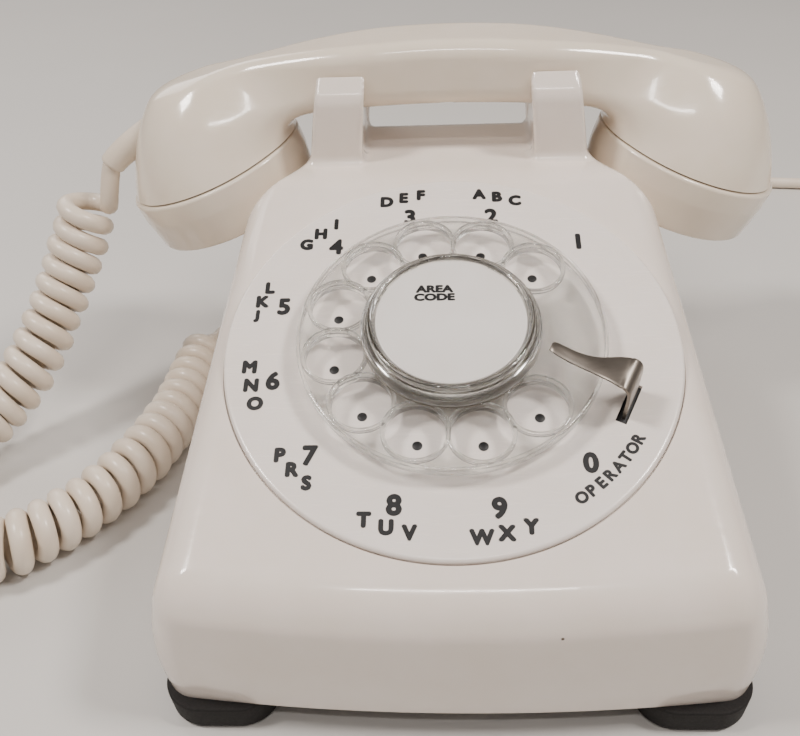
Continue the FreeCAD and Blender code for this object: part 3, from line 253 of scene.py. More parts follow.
def loose_object(name, data):
    thing = bpy.data.objects.new(name, data)
    bpy.context.collection.objects.link(thing)
    return thing


def link(name, data, body, slot, *nodes):
    """An object that rides on a body and stands for the CAD nodes; the slot is not used."""
    thing = loose_object(name, data)
    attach(thing, body)
    if nodes:
        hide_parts(*nodes)
    return thing


def painted(data, finish):
    data.materials.append(FINISHES[finish])
    return data


def piece(name, mesh, matrix, body, slot, *nodes, finish=None):
    """A finished piece, moved from millimetres in its own axes to its place in metres."""
    if not mesh.materials:
        painted(mesh, finish or slot)
    mesh.transform(Matrix.Scale(MM, 4) @ matrix)
    return link(name, mesh, body, slot, *nodes)


def mesh_of(made, name):
    """The mesh of a bmesh, which is then freed."""
    mesh = bpy.data.meshes.new(name)
    made.to_mesh(mesh)
    made.free()
    return mesh


def baked_mesh(thing, name):
    """The evaluated mesh of an object, which is then removed."""
    depsgraph = bpy.context.evaluated_depsgraph_get()
    depsgraph.update()
    mesh = bpy.data.meshes.new_from_object(thing.evaluated_get(depsgraph))
    mesh.name = name
    bpy.data.objects.remove(thing)
    return mesh


def joined(name, *meshes):
    """Several meshes as one, with their materials."""
    whole = bmesh.new()
    mesh = bpy.data.meshes.new(name)
    for part in meshes:
        material = part.materials[0] if part.materials else None
        if material and material.name not in mesh.materials:
            mesh.materials.append(material)
        spot = list(mesh.materials).index(material) if material else 0
        before = len(whole.faces)
        whole.from_mesh(part)
        whole.faces.ensure_lookup_table()
        for face in whole.faces[before:]:
            face.material_index = spot
    whole.to_mesh(mesh)
    whole.free()
    return mesh


def smooth(mesh, angle=35):
    mesh.shade_smooth()
    mesh.set_sharp_from_angle(angle=math.radians(angle))
    return mesh


def lathe(name, outline, steps=96, soft=0.0):
    """A turned form: (radius, height) points, closed on the axis or back on its start, with
    soft corners of a radius."""
    made = bmesh.new()
    rings = []
    for radius, height in softened(outline, soft) if soft else outline:
        if radius < 1e-6:
            rings.append([made.verts.new((0, 0, height))])
        else:
            rings.append([made.verts.new(around(radius, 2 * math.pi * k / steps, height))
                          for k in range(steps)])
    closed = outline[0][0] > 1e-6 and outline[-1][0] > 1e-6
    for one, two in list(zip(rings, rings[1:])) + ([(rings[-1], rings[0])] if closed else []):
        for k in range(steps):
            after = (k + 1) % steps
            corners = (one[k % len(one)], one[after % len(one)], two[after % len(two)], two[k % len(two)])
            face = list(dict.fromkeys(corners))
            if len(face) > 2:
                made.faces.new(face)
    bmesh.ops.recalc_face_normals(made, faces=made.faces)
    return smooth(mesh_of(made, name))


def softened(outline, radius, steps=4):
    """The outline with its corners rounded, each by the radius or as far as its sides allow."""
    spots = [Vector(point) for point in outline]
    result = [tuple(spots[0])]
    for before, corner, after in zip(spots, spots[1:], spots[2:]):
        one, two = before - corner, after - corner
        reach = min(radius, 0.45 * one.length, 0.45 * two.length)
        start, end = corner + one.normalized() * reach, corner + two.normalized() * reach
        for k in range(steps + 1):
            t = k / steps
            point = start.lerp(corner, t).lerp(corner.lerp(end, t), t)
            result.append(tuple(point))
    result.append(tuple(spots[-1]))
    return result


def box_mesh(name, low, high, bevel, segments=3):
    """A block with rounded edges, from its low corner to its high corner."""
    made = bmesh.new()
    bmesh.ops.create_cube(made, size=1.0)
    low, high = Vector(low), Vector(high)
    for vert in made.verts:
        vert.co = Vector([low[k] + (vert.co[k] + 0.5) * (high[k] - low[k]) for k in range(3)])
    bmesh.ops.bevel(made, geom=list(made.edges), offset=bevel, segments=segments, profile=0.5,
                    affect="EDGES", clamp_overlap=True)
    return smooth(mesh_of(made, name))


def flat_cut(name, rings, low, high, edge=0.25):
    """A flat sheet cut to round outlines: the first is its edge and the rest are holes."""
    curve = bpy.data.curves.new(name, "CURVE")
    curve.dimensions, curve.fill_mode = "2D", "BOTH"
    for x, y, radius, steps in rings:
        spline = curve.splines.new("POLY")
        spline.points.add(steps - 1)
        reach = radius - edge if len(curve.splines) == 1 else radius + edge
        for k, point in enumerate(spline.points):
            point.co = (*(Vector((x, y, 0)) + around(reach, 2 * math.pi * k / steps)), 1)
        spline.use_cyclic_u = True
    curve.extrude = (high - low) / 2 - edge
    curve.bevel_depth, curve.bevel_resolution = edge, 2
    mesh = baked_mesh(loose_object(name, curve), name)
    mesh.transform(shift((0, 0, (low + high) / 2)))
    made = bmesh.new()
    made.from_mesh(mesh)
    bmesh.ops.remove_doubles(made, verts=made.verts, dist=1e-4)
    bmesh.ops.recalc_face_normals(made, faces=made.faces)
    made.to_mesh(mesh)
    made.free()
    return smooth(mesh)


def cut_away(mesh, tools):
    """The mesh less its tools."""
    thing = loose_object(mesh.name, mesh)
    others = [loose_object(f"tool_{index}", tool) for index, tool in enumerate(tools)]
    for other in others:
        step = thing.modifiers.new("cut", "BOOLEAN")
        step.operation, step.object, step.solver = "DIFFERENCE", other, "EXACT"
    result = baked_mesh(thing, mesh.name)
    for other in others:
        bpy.data.objects.remove(other)
    return result


# ---- forms that are worked out as distances

def rounded_both(one, two, radius):
    """Inside both forms, with the edge between them rounded."""
    return (np.minimum(-radius, np.maximum(one, two))
            + np.hypot(np.maximum(one + radius, 0), np.maximum(two + radius, 0)))


def rounded_either(one, two, radius):
    """Inside either form, with a fillet between them."""
    return -rounded_both(-one, -two, radius)


def soft_both(one, two, width):
    """Inside both forms, with a slow bend between them."""
    return np.maximum(one, two) + np.maximum(width - np.abs(one - two), 0) ** 2 / (4 * width)


def soft_either(one, two, width):
    return -soft_both(-one, -two, width)


def slow_step(share):
    """The share from 0 to 1, with a slow start and end."""
    return share * share * (3 - 2 * share)


def evened(rows, times):
    """The rows, each drawn towards its neighbours a number of times."""
    for _ in range(times):
        rows[1:-1] = 0.25 * rows[:-2] + 0.5 * rows[1:-1] + 0.25 * rows[2:]
    return rows


def unit(rows):
    """Each row as a direction of length one."""
    return rows / np.linalg.norm(rows, axis=-1, keepdims=True)


def slope_of(form, spots, step=0.02):
    """The form's gradient at the spots."""
    return np.stack([(form(*(spots + step * way).T) - form(*(spots - step * way).T)) / (2 * step)
                     for way in np.eye(3)], axis=1)


def skin_of(name, form, low, high, pitch, settle=3):
    """The form's surface as a mesh of even faces, each corner pulled exactly onto it."""
    axes = [np.arange(a, b + pitch, pitch) for a, b in zip(low, high)]
    grid = np.meshgrid(*axes, indexing="ij")
    field = form(*grid)
    inside = field < 0
    corners = [(i, j, k) for i in (0, 1) for j in (0, 1) for k in (0, 1)]
    cells = tuple(n - 1 for n in field.shape)
    view = {c: tuple(slice(c[d], c[d] + cells[d]) for d in range(3)) for c in corners}
    count = sum(inside[view[c]].astype(np.int8) for c in corners)
    active = (count > 0) & (count < 8)
    number = np.full(cells, -1, dtype=np.int64)
    number[active] = np.arange(active.sum())
    spots = np.zeros((active.sum(), 3))
    hits = np.zeros(active.sum())
    values = {c: field[view[c]][active] for c in corners}
    for one in corners:
        for axis in range(3):
            if one[axis]:
                continue
            two = tuple(1 if d == axis else one[d] for d in range(3))
            crossing = (values[one] < 0) != (values[two] < 0)
            share = np.where(crossing, values[one] / (values[one] - values[two] + 1e-30), 0)
            point = np.array(one, dtype=float)[None, :].repeat(len(hits), 0)
            point[:, axis] += share
            spots += np.where(crossing[:, None], point, 0)
            hits += crossing
    origin = np.argwhere(active)
    spots = (spots / hits[:, None] + origin) * pitch + np.array(low)
    faces = []
    for axis in range(3):
        first, second = [d for d in range(3) if d != axis]
        lower, upper = [slice(None)] * 3, [slice(None)] * 3
        lower[axis], upper[axis] = slice(None, -1), slice(1, None)
        for d in (first, second):
            lower[d] = upper[d] = slice(1, -1)
        crossing = inside[tuple(lower)] != inside[tuple(upper)]
        places = np.argwhere(crossing)
        places[:, [first, second]] += 1
        outward = inside[tuple(lower)][crossing]
        quad = []
        for back in ((1, 1), (0, 1), (0, 0), (1, 0)):
            cell = places.copy()
            cell[:, [first, second]] -= back
            quad.append(number[tuple(cell.T)])
        quad = np.stack(quad, axis=1)
        flip = outward if axis != 1 else ~outward
        quad[~flip] = quad[~flip][:, ::-1]
        faces.append(quad)
    faces = np.concatenate(faces)
    edges = np.concatenate([faces[:, [k, (k + 1) % 4]] for k in range(4)])
    for turn in range(settle + 1):
        for _ in range(3):
            grad = slope_of(form, spots)
            value = form(*spots.T)
            length = np.maximum((grad ** 2).sum(1), 0.05)
            move = grad * (value / length)[:, None]
            size = np.linalg.norm(move, axis=1, keepdims=True)
            spots -= move * np.minimum(1, 0.6 * pitch / np.maximum(size, 1e-9))
        if turn == settle:
            break
        total, near = np.zeros_like(spots), np.zeros(len(spots))
        for a, b in ((0, 1), (1, 0)):
            for d in range(3):
                total[:, d] += np.bincount(edges[:, a], spots[edges[:, b], d], len(spots))
            near += np.bincount(edges[:, a], minlength=len(spots))
        spots += 0.5 * (total / near[:, None] - spots)
    mesh = bpy.data.meshes.new(name)
    mesh.from_pydata(spots.tolist(), [], faces.tolist())
    mesh.validate()
    return mesh


def read(items, name, width=1, kind=float):
    """One property of a mesh's corners or faces, as an array."""
    values = np.empty(len(items) * width, dtype=kind)
    items.foreach_get(name, values)
    return values.reshape(-1, width) if width > 1 else values


def true_normals(mesh, form, near=0.03, angle=32):
    """Shading taken from the form itself where a face lies on it, and flat where a cut made it."""
    smooth(mesh, angle)
    spots = read(mesh.vertices, "co", 3)
    grad = slope_of(form, spots)
    grad /= np.maximum(np.linalg.norm(grad, axis=1, keepdims=True), 1e-9)
    on_form = np.abs(form(*spots.T)) < near
    corner = read(mesh.loops, "vertex_index", kind=np.int64)
    sizes = read(mesh.polygons, "loop_total", kind=np.int64)
    flat = read(mesh.polygons, "normal", 3)[np.repeat(np.arange(len(sizes)), sizes)]
    normals = np.array([tuple(n.vector) for n in mesh.corner_normals])
    use = on_form[corner] & ((grad[corner] * flat).sum(1) > 0.75)
    normals[use] = grad[corner][use]
    mesh.normals_split_custom_set(normals.tolist())
    return mesh


# ---- housing

def body_form(x, y, z):
    """The housing's outer form without its cradle: leaning walls, dial slope and platform."""
    lift = z - BELLY_RISE
    width = soft_either(HALF_WIDTH - lift * SIDE_LEAN, HALF_WIDTH + lift * 0.06, 4.0)
    side = (np.abs(x) - width) * math.cos(math.radians(13.4))
    bow = x ** 2 / (2 * 595)
    front = soft_both(-HALF_DEPTH + lift * FRONT_LEAN, -HALF_DEPTH - lift / 6, 2.5) + bow - y
    rear = y - soft_either(HALF_DEPTH - lift * REAR_LEAN, HALF_DEPTH + lift / 6, 5.0)
    walls = rounded_both(rounded_both(side, front, 7.5), rear * 0.93, 15.5)
    slope = (DIAL_PLACE.y - y) * math.sin(TILT) + (z - DIAL_PLACE.z) * math.cos(TILT) + 1.2
    top = soft_both(slope, z - PLATFORM_RISE, 3.0)
    return rounded_both(walls, top, 8.5)


def ear_form(x, y, z):
    """The four cradle ears and the saddles between them."""
    side_x, rise = np.abs(x), (z - PLATFORM_RISE) / 27.0
    back = np.abs(y - HANDSET_BACK)
    inner = 28.3 - 2.2 * rise - side_x
    outer = side_x - (45.4 - 3.8 * rise)
    far = (back - (22.0 - 1.6 * rise)) * 0.99
    bent = (back - 20.6) * 0.734 + (z - 119.2) * 0.679
    ear = rounded_both(rounded_both(inner, outer, 1.6), rounded_both(far, bent, 1.6), 1.4)
    ear = rounded_both(rounded_both(ear, 14.0 - back, 0.9), z - 125.4, 0.8)
    saddle = rounded_both(rounded_both(28.6 - side_x, side_x - 44.6, 1.2), back - 15.5, 1.2)
    saddle = rounded_both(saddle, z - 107.8, 1.2)
    return np.maximum(rounded_either(ear, saddle, 1.2), 90.0 - z)


def cup_hollows(x, y, z):
    """The round hollows under the handset's cups, which run out at the rear."""
    return np.sqrt((np.abs(x) - 90.0) ** 2 + (z - 97.0) ** 2 + np.minimum(y - 60.0, 0) ** 2) - 45.0


def carrying_recess(x, y, z):
    """The pocket in the rear wall that the fingers reach into."""
    return rounded_both(rounded_both(np.abs(x) - 37.0, 70.0 - y, 3.0), np.abs(z - 81.5) - 11.5, 3.0)


def housing_form(x, y, z):
    form = rounded_both(body_form(x, y, z), -cup_hollows(x, y, z), 3.2)
    form = rounded_both(form, -carrying_recess(x, y, z), 2.5)
    return rounded_either(form, ear_form(x, y, z), 2.6)


def outer_skin(x, y, z):
    return np.maximum(housing_form(x, y, z), FLOOR_RISE - 2.5 - z)


def inner_skin(x, y, z):
    return np.maximum(housing_form(x, y, z) + WALL, FLOOR_RISE - 2.0 - z)


def pin_mesh(radius, low, high, steps=96):
    """A plain round bar, for cutting with."""
    return lathe("pin", ((0, low), (radius, low), (radius, high), (0, high)), steps)


def facing(spot, way):
    """A frame at the spot whose Z looks along the way."""
    return shift(spot) @ Vector(way).to_track_quat("Z", "X").to_matrix().to_4x4()


def make_housing():
    low, high = (-84.6, -109.8, 4.2), (84.6, 110.2, 128.3)
    mesh = skin_of("outer_skin", outer_skin, low, high, 1.6)
    cavity = skin_of("inner_skin", inner_skin, low, high, 3.0)
    cavity.flip_normals()
    mesh = joined("housing_shell", mesh, cavity)
    tools = []
    # the plate's seat, the well under it, the plungers' holes and the cords' entries
    for radius, low, high, steps, matrix in (
        (63.35, -2.4, 30, 192, DIAL),
        (54.0, -25, 30, 128, DIAL),
        *((3.7, 0, 40, 32, shift((x, HANDSET_BACK, 85))) for x in (-PLUNGER_SIDE, PLUNGER_SIDE)),
        (5.3, -2, 24, 32, facing(CURLY_ROUTE[-1], CURLY_ROUTE[-1] - CURLY_ROUTE[-2])),
        (4.3, -2, 24, 32, facing(LINE_ROUTE[0], LINE_ROUTE[0] - LINE_ROUTE[1])),
    ):
        tools.append(pin_mesh(radius, low, high, steps))
        tools[-1].transform(matrix)
    tools.append(box_mesh("below", (-120, -140, -20), (120, 140, FLOOR_RISE), 0.01, segments=1))
    mesh = true_normals(cut_away(mesh, tools), housing_form)
    piece("housing_shell", mesh, Matrix(), "base", "ivory_housing", "housing")


# ---- handset

def cup_axes(side):
    """The axes of a cup: Z leads up along it, and zero is just under its seam."""
    return (shift((side * CUP_SIDE, HANDSET_BACK, CUP_RISE))
            @ Matrix.Rotation(side * CUP_TILT, 4, "Y"))


def cup_height(x, z):
    """The height along the nearer cup's axis."""
    return (np.abs(x) - CUP_SIDE) * math.sin(CUP_TILT) + (z - CUP_RISE) * math.cos(CUP_TILT)


def handle_form(x, y, z):
    """An arched bar with a lens-shaped crisp top that swells into a domed cup at each end."""
    side_x, across = np.abs(x), np.abs(y - HANDSET_BACK)
    top = np.hypot(x, z - BAR_TOP + TOP_ARC) - TOP_ARC
    under = UNDER_ARC - np.hypot(x, z - BAR_UNDER + UNDER_ARC)
    share = slow_step(np.clip((side_x - 20) / 56, 0, 1))
    flank = (across - 13.5 + share * (8.9 + 0.55 * np.minimum(top, 0))) / np.sqrt(1 + 0.3 * share ** 2)
    bar = rounded_both(flank, under, 6.0)
    bar = rounded_both(bar, side_x - 86.0 + 0.5 * (z - 116), 4.0)
    along = (side_x - CUP_SIDE) * math.cos(CUP_TILT) - (z - CUP_RISE) * math.sin(CUP_TILT)
    high = cup_height(x, z)
    radius = np.hypot(along, across)
    out, up = 1 / 0.55, 1.15
    wide, tall = radius / CUP_RADIUS, np.maximum(high, 0) / DOME_RISE
    level = wide ** out + tall ** up - 1
    steep = np.hypot(out / CUP_RADIUS * wide ** (out - 1), up / DOME_RISE * tall ** (up - 1))
    cup = np.where(high < 0, radius - CUP_RADIUS, level / np.maximum(steep, 0.02))
    form = rounded_either(bar, cup, 12.0)
    return rounded_both(form, top, 2.4 + 3.0 * (1 - share))


def handle_solid(x, y, z):
    return np.maximum(handle_form(x, y, z), -4.0 - cup_height(x, z))


def make_handset():
    mesh = skin_of("handset_moulding", handle_solid, (-118, 25, 60), (118, 98, 137),
                   1.3)
    tools = []
    for side in (-1, 1):
        for tool in (
            box_mesh("below", (-60, -60, -60), (60, 60, SEAM + 0.55), 0.01, segments=1),
            pin_mesh(26.6, -20, 3.6), pin_mesh(18.0, -20, 10.0),
        ):
            tool.transform(cup_axes(side))
            tools.append(tool)
    mesh = true_normals(cut_away(mesh, tools), handle_form)
    piece("handset_moulding", mesh, Matrix(), "handset", "ivory_handset", "handset_handle")
    wall = ((28.9, SEAM), (31.6, SEAM), (32.15, SEAM - 0.7), (32.0, -4.0), (30.6, -14.9), (29.4, -15.7),
            (24.5, -15.7), (24.5, -12.9), (26.2, -12.9), (28.9, -10.4), (28.9, SEAM - 0.05))
    rings = [(0, 0, 26.4, 96), (0, 0, 1.4, 16)]
    for count, radius in ((6, 5.5), (12, 11.0), (16, 16.5)):
        rings += [(*around(radius, 2 * math.pi * k / count).xy, 1.4, 16) for k in range(count)]
    for side, name in ((-1, "transmitter"), (1, "receiver")):
        cap = joined(f"{name}_cap_moulding", lathe("wall", wall, soft=0.6),
                     flat_cut("face", rings, -15.7, -13.0))
        piece(f"{name}_cap_moulding", cap, cup_axes(side), "handset", "ivory_handset", f"{name}_cap")


# ---- cords

CURLY_ROUTE = [Vector(point) for point in (
    (-129.0, 54.3, 80.0), (-131.5, 52.0, 72.5), (-136.0, 47.5, 62.5), (-143.0, 36.5, 47.0),
    (-153.0, 20.0, 28.5), (-171.0, 1.0, 13.5), (-186.0, -22.0, 10.5), (-177.0, -49.0, 10.5),
    (-148.0, -53.5, 10.5), (-124.0, -35.0, 10.5), (-109.0, -10.0, 10.5), (-101.5, 17.0, 10.5),
    (-99.5, 44.0, 10.5), (-97.0, 62.0, 12.0), (-88.5, 73.0, 14.0),
)]
LINE_ROUTE = [Vector(point) for point in (
    (35.0, 112.0, 15.0), (35.0, 124.0, 14.2), (36.5, 139.0, 8.6), (41.0, 154.0, 3.2),
    (52.0, 172.0, 2.9), (71.0, 191.0, 2.9), (97.0, 206.0, 2.9), (129.0, 217.0, 2.9),
    (162.0, 221.0, 2.9), (184.0, 218.8, 2.9), (203.0, 215.5, 2.9), (221.0, 213.8, 2.9),
)]
LINE_DIAMETER = 5.5
COIL_MIDDLE, COIL_OUTER, COIL_INNER = Vector((232.0, 178.0, 0.0)), 35.75, 30.25
CURL_DIAMETER, CURL_OUTER, CURL_PITCH, STEPS_A_TURN = 6.5, 20.5, 7.15, 22
SLEEVE_END = Vector((-118.2, 57.0, 92.4))
SLEEVE_WAY = Vector((-0.62, -0.2, -0.76)).normalized()


def cord_curve(name, points, thick=0.0):
    """A cord's line: one smooth spline with the route's points as its control points."""
    curve = bpy.data.curves.new(name, "CURVE")
    curve.dimensions = "3D"
    spline = curve.splines.new("NURBS")
    spline.points.add(len(points) - 1)
    for spot, point in zip(spline.points, points):
        spot.co = (*(point * MM), 1.0)
    spline.order_u = 3
    spline.use_endpoint_u = True
    spline.resolution_u = 8
    curve.bevel_depth, curve.bevel_resolution = thick * MM / 2, 4
    curve.use_fill_caps = thick > 0
    return curve


def coil_points():
    """Two rings of turns, four deep: out at the bottom, up the inner ring and down the outer."""
    layers = [2.9 + LINE_DIAMETER * k for k in range(4)]
    places = [(COIL_OUTER, layers[0])] + [(COIL_INNER, rise) for rise in layers]
    places += [(COIL_OUTER, layers[k]) for k in (3, 2, 1, 1)]
    steps, points = 16, []
    for index in range(1, 8 * steps + steps // 4):
        turn, part = divmod(index / steps, 1.0)
        turn = int(turn)
        start = 0.80 - 0.045 * turn
        share = slow_step(min(max((part - start) / 0.09, 0.0), 1.0))
        here, after = Vector(places[turn]), Vector(places[min(turn + 1, 8)])
        radius, height = here.lerp(after, share)
        angle = math.pi / 2 - 2 * math.pi * index / steps
        points.append(COIL_MIDDLE + around(radius, angle, height))
    return points


def make_line_cord():
    end_x = COIL_MIDDLE.x + COIL_OUTER
    out = LINE_ROUTE + coil_points()
    out += [Vector((end_x, y, z)) for y, z in ((177.0, 8.3), (168.0, 8.2), (160.0, 6.2), (152.0, 3.6),
                                               (147.0, 3.4), (141.0, 3.6))]
    cord = link("line_cord_jacket", painted(cord_curve("line_cord_jacket", out, LINE_DIAMETER), "cord_ivory"),
                "base", "cord_ivory", "line_cord", "line_cord_coil", "line_cord_tail")
    # the plug: its shell, nose, latch and ramp are clear, and its pins are gold
    clear = [painted(box_mesh(*sizes), "clear_plug") for sizes in (
        ("shell", (-5.8, -19, 0.2), (5.8, 0, 8.4), 0.5), ("nose", (-4.9, -21, 1.0), (4.9, -17.5, 7.6), 0.4),
        ("latch", (-1.9, -16, 8.2), (1.9, -3, 9.6), 0.3), ("ramp", (-3.2, -3.8, 7.9), (3.2, -1.2, 9.0), 0.3))]
    pins = [painted(box_mesh("pin", (x - 0.35, -18.4, 0.1), (x + 0.35, -12.5, 1.5), 0.08, 1), "gold_contact")
            for x in (-1.65, -0.55, 0.55, 1.65)]
    plug = piece("modular_plug", smooth(joined("modular_plug", *clear, *pins)),
                 shift((end_x, 143.0, 0.0)), "base", "clear_plug", "line_plug")
    length = route_samples(out)[1][-1] * MM


def route_samples(points):
    """Places along the smooth route and how far along it each is, in millimetres."""
    probe = baked_mesh(loose_object("probe", cord_curve("probe", points)), "probe")
    spots = np.array([v.co[:] for v in probe.vertices]) / MM
    return spots, np.concatenate([[0], np.cumsum(np.linalg.norm(np.diff(spots, axis=0), axis=1))])


def rims_along(spots, across):
    """At each spot, the place at a radius and angle round the line; the start of the angle is
    carried along without a twist."""
    for spot, way in zip(spots, unit(np.gradient(spots, axis=0))):
        across = unit(across - way * np.dot(across, way))
        yield lambda radius, angle: spot + radius * (
            math.cos(angle) * across + math.sin(angle) * np.cross(way, across))


def tube_mesh(name, spots, radii, sides):
    """A round tube along the spots, closed at its ends."""
    made, faces = [], []
    first = np.cross(spots[1] - spots[0], (0.0, 0.0, 1.0))
    for rim, radius in zip(rims_along(spots, first), np.broadcast_to(radii, len(spots))):
        made += [rim(radius, 2 * math.pi * k / sides) for k in range(sides)]
    rings = range(0, len(made), sides)
    for one, two in zip(rings, rings[1:]):
        faces += [(one + k, one + (k + 1) % sides, two + (k + 1) % sides, two + k) for k in range(sides)]
    faces.append(tuple(range(sides - 1, -1, -1)))
    faces.append(tuple(rings[-1] + k for k in range(sides)))
    mesh = bpy.data.meshes.new(name)
    mesh.from_pydata([(p * MM).tolist() for p in made], [], faces)
    return smooth(painted(mesh, "cord_ivory"), 60)


def bent_between(start, start_way, end, end_way, pull, count):
    """Places on a smooth bend from one point and direction to another."""
    t = np.linspace(0, 1, count)[:, None]
    two, three = start + start_way * pull, end - end_way * pull * 0.6
    return ((1 - t) ** 3 * start + 3 * (1 - t) ** 2 * t * two
            + 3 * (1 - t) * t ** 2 * three + t ** 3 * end)


def make_curly_cord():
    """The helix round its route, straight over its last stretch, and its lead from the sleeve."""
    spots, along = route_samples(CURLY_ROUTE)
    total = along[-1]
    straight, grow = 12.0, 9.0
    count = int(total / CURL_PITCH * STEPS_A_TURN)
    fine = np.linspace(0, total, count)
    centre = evened(np.stack([np.interp(fine, along, values) for values in spots.T], axis=1), 6)
    mean = (CURL_OUTER - CURL_DIAMETER) / 2
    line, angle = [], 0.0
    for s, rim in zip(fine, rims_along(centre, np.array((1.0, 0.0, 0.0)))):
        swell = slow_step(min(max((total - straight - s) / grow, 0.0), 1.0))
        pitch = CURL_PITCH * (1 + 0.05 * math.sin(s * 0.035) + 0.04 * math.sin(s * 0.11 + 1.0))
        angle -= 2 * math.pi * total / (count - 1) / pitch
        wander = 1 + 0.03 * math.sin(s * 0.11) + 0.02 * math.sin(s * 0.37 + 1.0)
        line.append(rim(mean * wander * swell, angle))
    line = np.array(line)
    lead = bent_between(np.array(SLEEVE_END), np.array((-0.4, -0.15, -0.9)), line[0],
                        unit(line[1] - line[0]), 5.5, 20)
    line = np.concatenate([lead[:-1], line])
    cord = loose_object("handset_cord_curl", tube_mesh("handset_cord_curl", line, CURL_DIAMETER / 2, 12))
    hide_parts("handset_cord")
    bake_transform(cord)


def make_strain_relief():
    """The moulded sleeve that leads the curly cord out of the cup and turns it downwards."""
    count = 30
    line = bent_between(np.array((-102.0, 60.0, 104.0)), np.array((-0.85, -0.1, -0.5)),
                        np.array(SLEEVE_END), np.array(SLEEVE_WAY), 7.0, count)
    radii = np.interp(np.linspace(0, 1, count), (0, 0.5, 0.97, 1.0), (4.9, 4.7, 4.35, 4.1))
    link("cord_sleeve", tube_mesh("cord_sleeve", line, radii, 32), "handset", "cord_ivory",
         "handset_strain_relief")


# ---- dial

STOP_ROOT = shift((45.9, -19.2, 0)) @ Matrix.Rotation(math.radians(154), 4, "Z")
HOLES, HOLE_RADIUS, HOLE_CIRCLE = 10, 7.9, 32.0
HOLE_FIRST, HOLE_STEP = math.radians(43.1), math.radians(30)
# the height and boldness of each kind of print
PRINT = {"digit": (6.0, 0.38), "letter": (4.35, 0.38), "word": (3.3, 0.22), "card": (2.55, 0.19)}


def make_number_plate():
    outline = [(8.2, -2.4), (62.4, -2.4), (62.95, -1.9), (63.0, -1.0), (62.85, -0.4), (62.4, 0.02),
               (61.8, 0.15), (60.8, 0.12), (58.5, 0.0), (30.0, -0.05), (8.2, -0.05)]
    plate = lathe("number_plate_disc", outline, 256, 0.4)
    slot = box_mesh("slot", (-1.8, -6.4, -6), (1.2, 6.4, 3), 0.01, segments=1)
    slot.transform(STOP_ROOT)
    plate = smooth(cut_away(plate, [slot]), 30)
    piece("number_plate_disc", plate, DIAL, "base", "number_plate_white", "number_plate")
    # painted shade: a black block fills the lower part of the plate's slot to darken the opening over the
    # shaded inside of the dial
    shade_fill = box_mesh("slot_shade_fill", (-1.9, -6.5, -2.35), (1.3, 6.5, -1.2), 0.2)
    piece("slot_shade_fill", shade_fill, DIAL @ STOP_ROOT, "base", "black_plastic", finish="black_enamel")


def letter_mesh(text, print_kind, turn=0.0):
    """A printed word or letter; it is made bold by copies set a little way round it."""
    height, bold = PRINT[print_kind]
    curve = bpy.data.curves.new("letters", "FONT")
    curve.body, curve.align_x, curve.align_y = text, "CENTER", "CENTER"
    curve.size, curve.extrude, curve.resolution_u = height * 1.37, 0.02, 4
    mesh = baked_mesh(loose_object("letters", curve), "letters")
    low, high = ([end(v.co[k] for v in mesh.vertices) for k in range(2)] for end in (min, max))
    scale = (height - 2 * bold) / (high[1] - low[1])
    middle = Vector(((low[0] + high[0]) / 2, (low[1] + high[1]) / 2, 0))
    copies = []
    for k in range(9):
        away = around(bold, 2 * math.pi * k / 8, 0.001 * k) if k < 8 else Vector()
        copies.append(mesh.copy())
        copies[-1].transform(Matrix.Rotation(math.radians(turn), 4, "Z") @ shift(away)
                             @ Matrix.Diagonal((scale, scale, 1, 1)) @ shift(-middle))
    return joined("letters", *copies)


def make_lettering():
    """The digits and letters round the plate and the words on the card, printed in black."""
    marks, lines = [], []

    def mark(text, print_kind, radius, angle, turn=0.0):
        mesh = letter_mesh(text, print_kind, turn)
        mesh.transform(shift(around(radius, math.radians(angle), 0.06)))
        marks.append(mesh)

    # each digit, its angle in degrees and its circle; its letters, their circle and their spacing
    for digit, angle, radius, letters, circle, step in (
        ("I", 44, 52.8, "", 0, 0), ("2", 75, 49.2, "CBA", 57.4, 5.6), ("3", 104, 49.2, "FED", 57.4, 5.4),
        ("4", 133, 49.6, "IHG", 56.8, 5.9), ("5", 163.5, 49.6, "LKJ", 56.2, 5.4),
        ("6", 193, 49.6, "MNO", 55.6, 6.2), ("7", 223, 50.0, "PRS", 55.8, 5.6),
        ("8", 253, 50.2, "TUV", 56.4, 6.0), ("9", 283, 50.2, "WXY", 57.0, 6.2), ("0", 313.4, 50.4, "", 0, 0),
    ):
        mark(digit, "digit", radius, angle)
        for k, letter in enumerate(letters):
            mark(letter, "letter", circle, angle + (k - 1) * step)
    word, first, last = "OPERATOR", -55.7, -32.3
    for k, letter in enumerate(word):
        angle = first + (last - first) * k / (len(word) - 1)
        mark(letter, "word", 55.9, angle, angle + 90)
    piece("plate_lettering", joined("plate_lettering", *marks), DIAL, "base", "number_plate_white",
          finish="black_enamel")
    for text, rise in (("AREA", 10.2), ("CODE", 7.4)):
        line = letter_mesh(text, "card")
        line.transform(shift((-4.3, rise, 11.93)) @ Matrix.Diagonal((1.26, 1, 1, 1)))
        lines.append(line)
    piece("card_lettering", joined("card_lettering", *lines), DIAL, "finger_wheel", "card_white",
          finish="black_enamel")


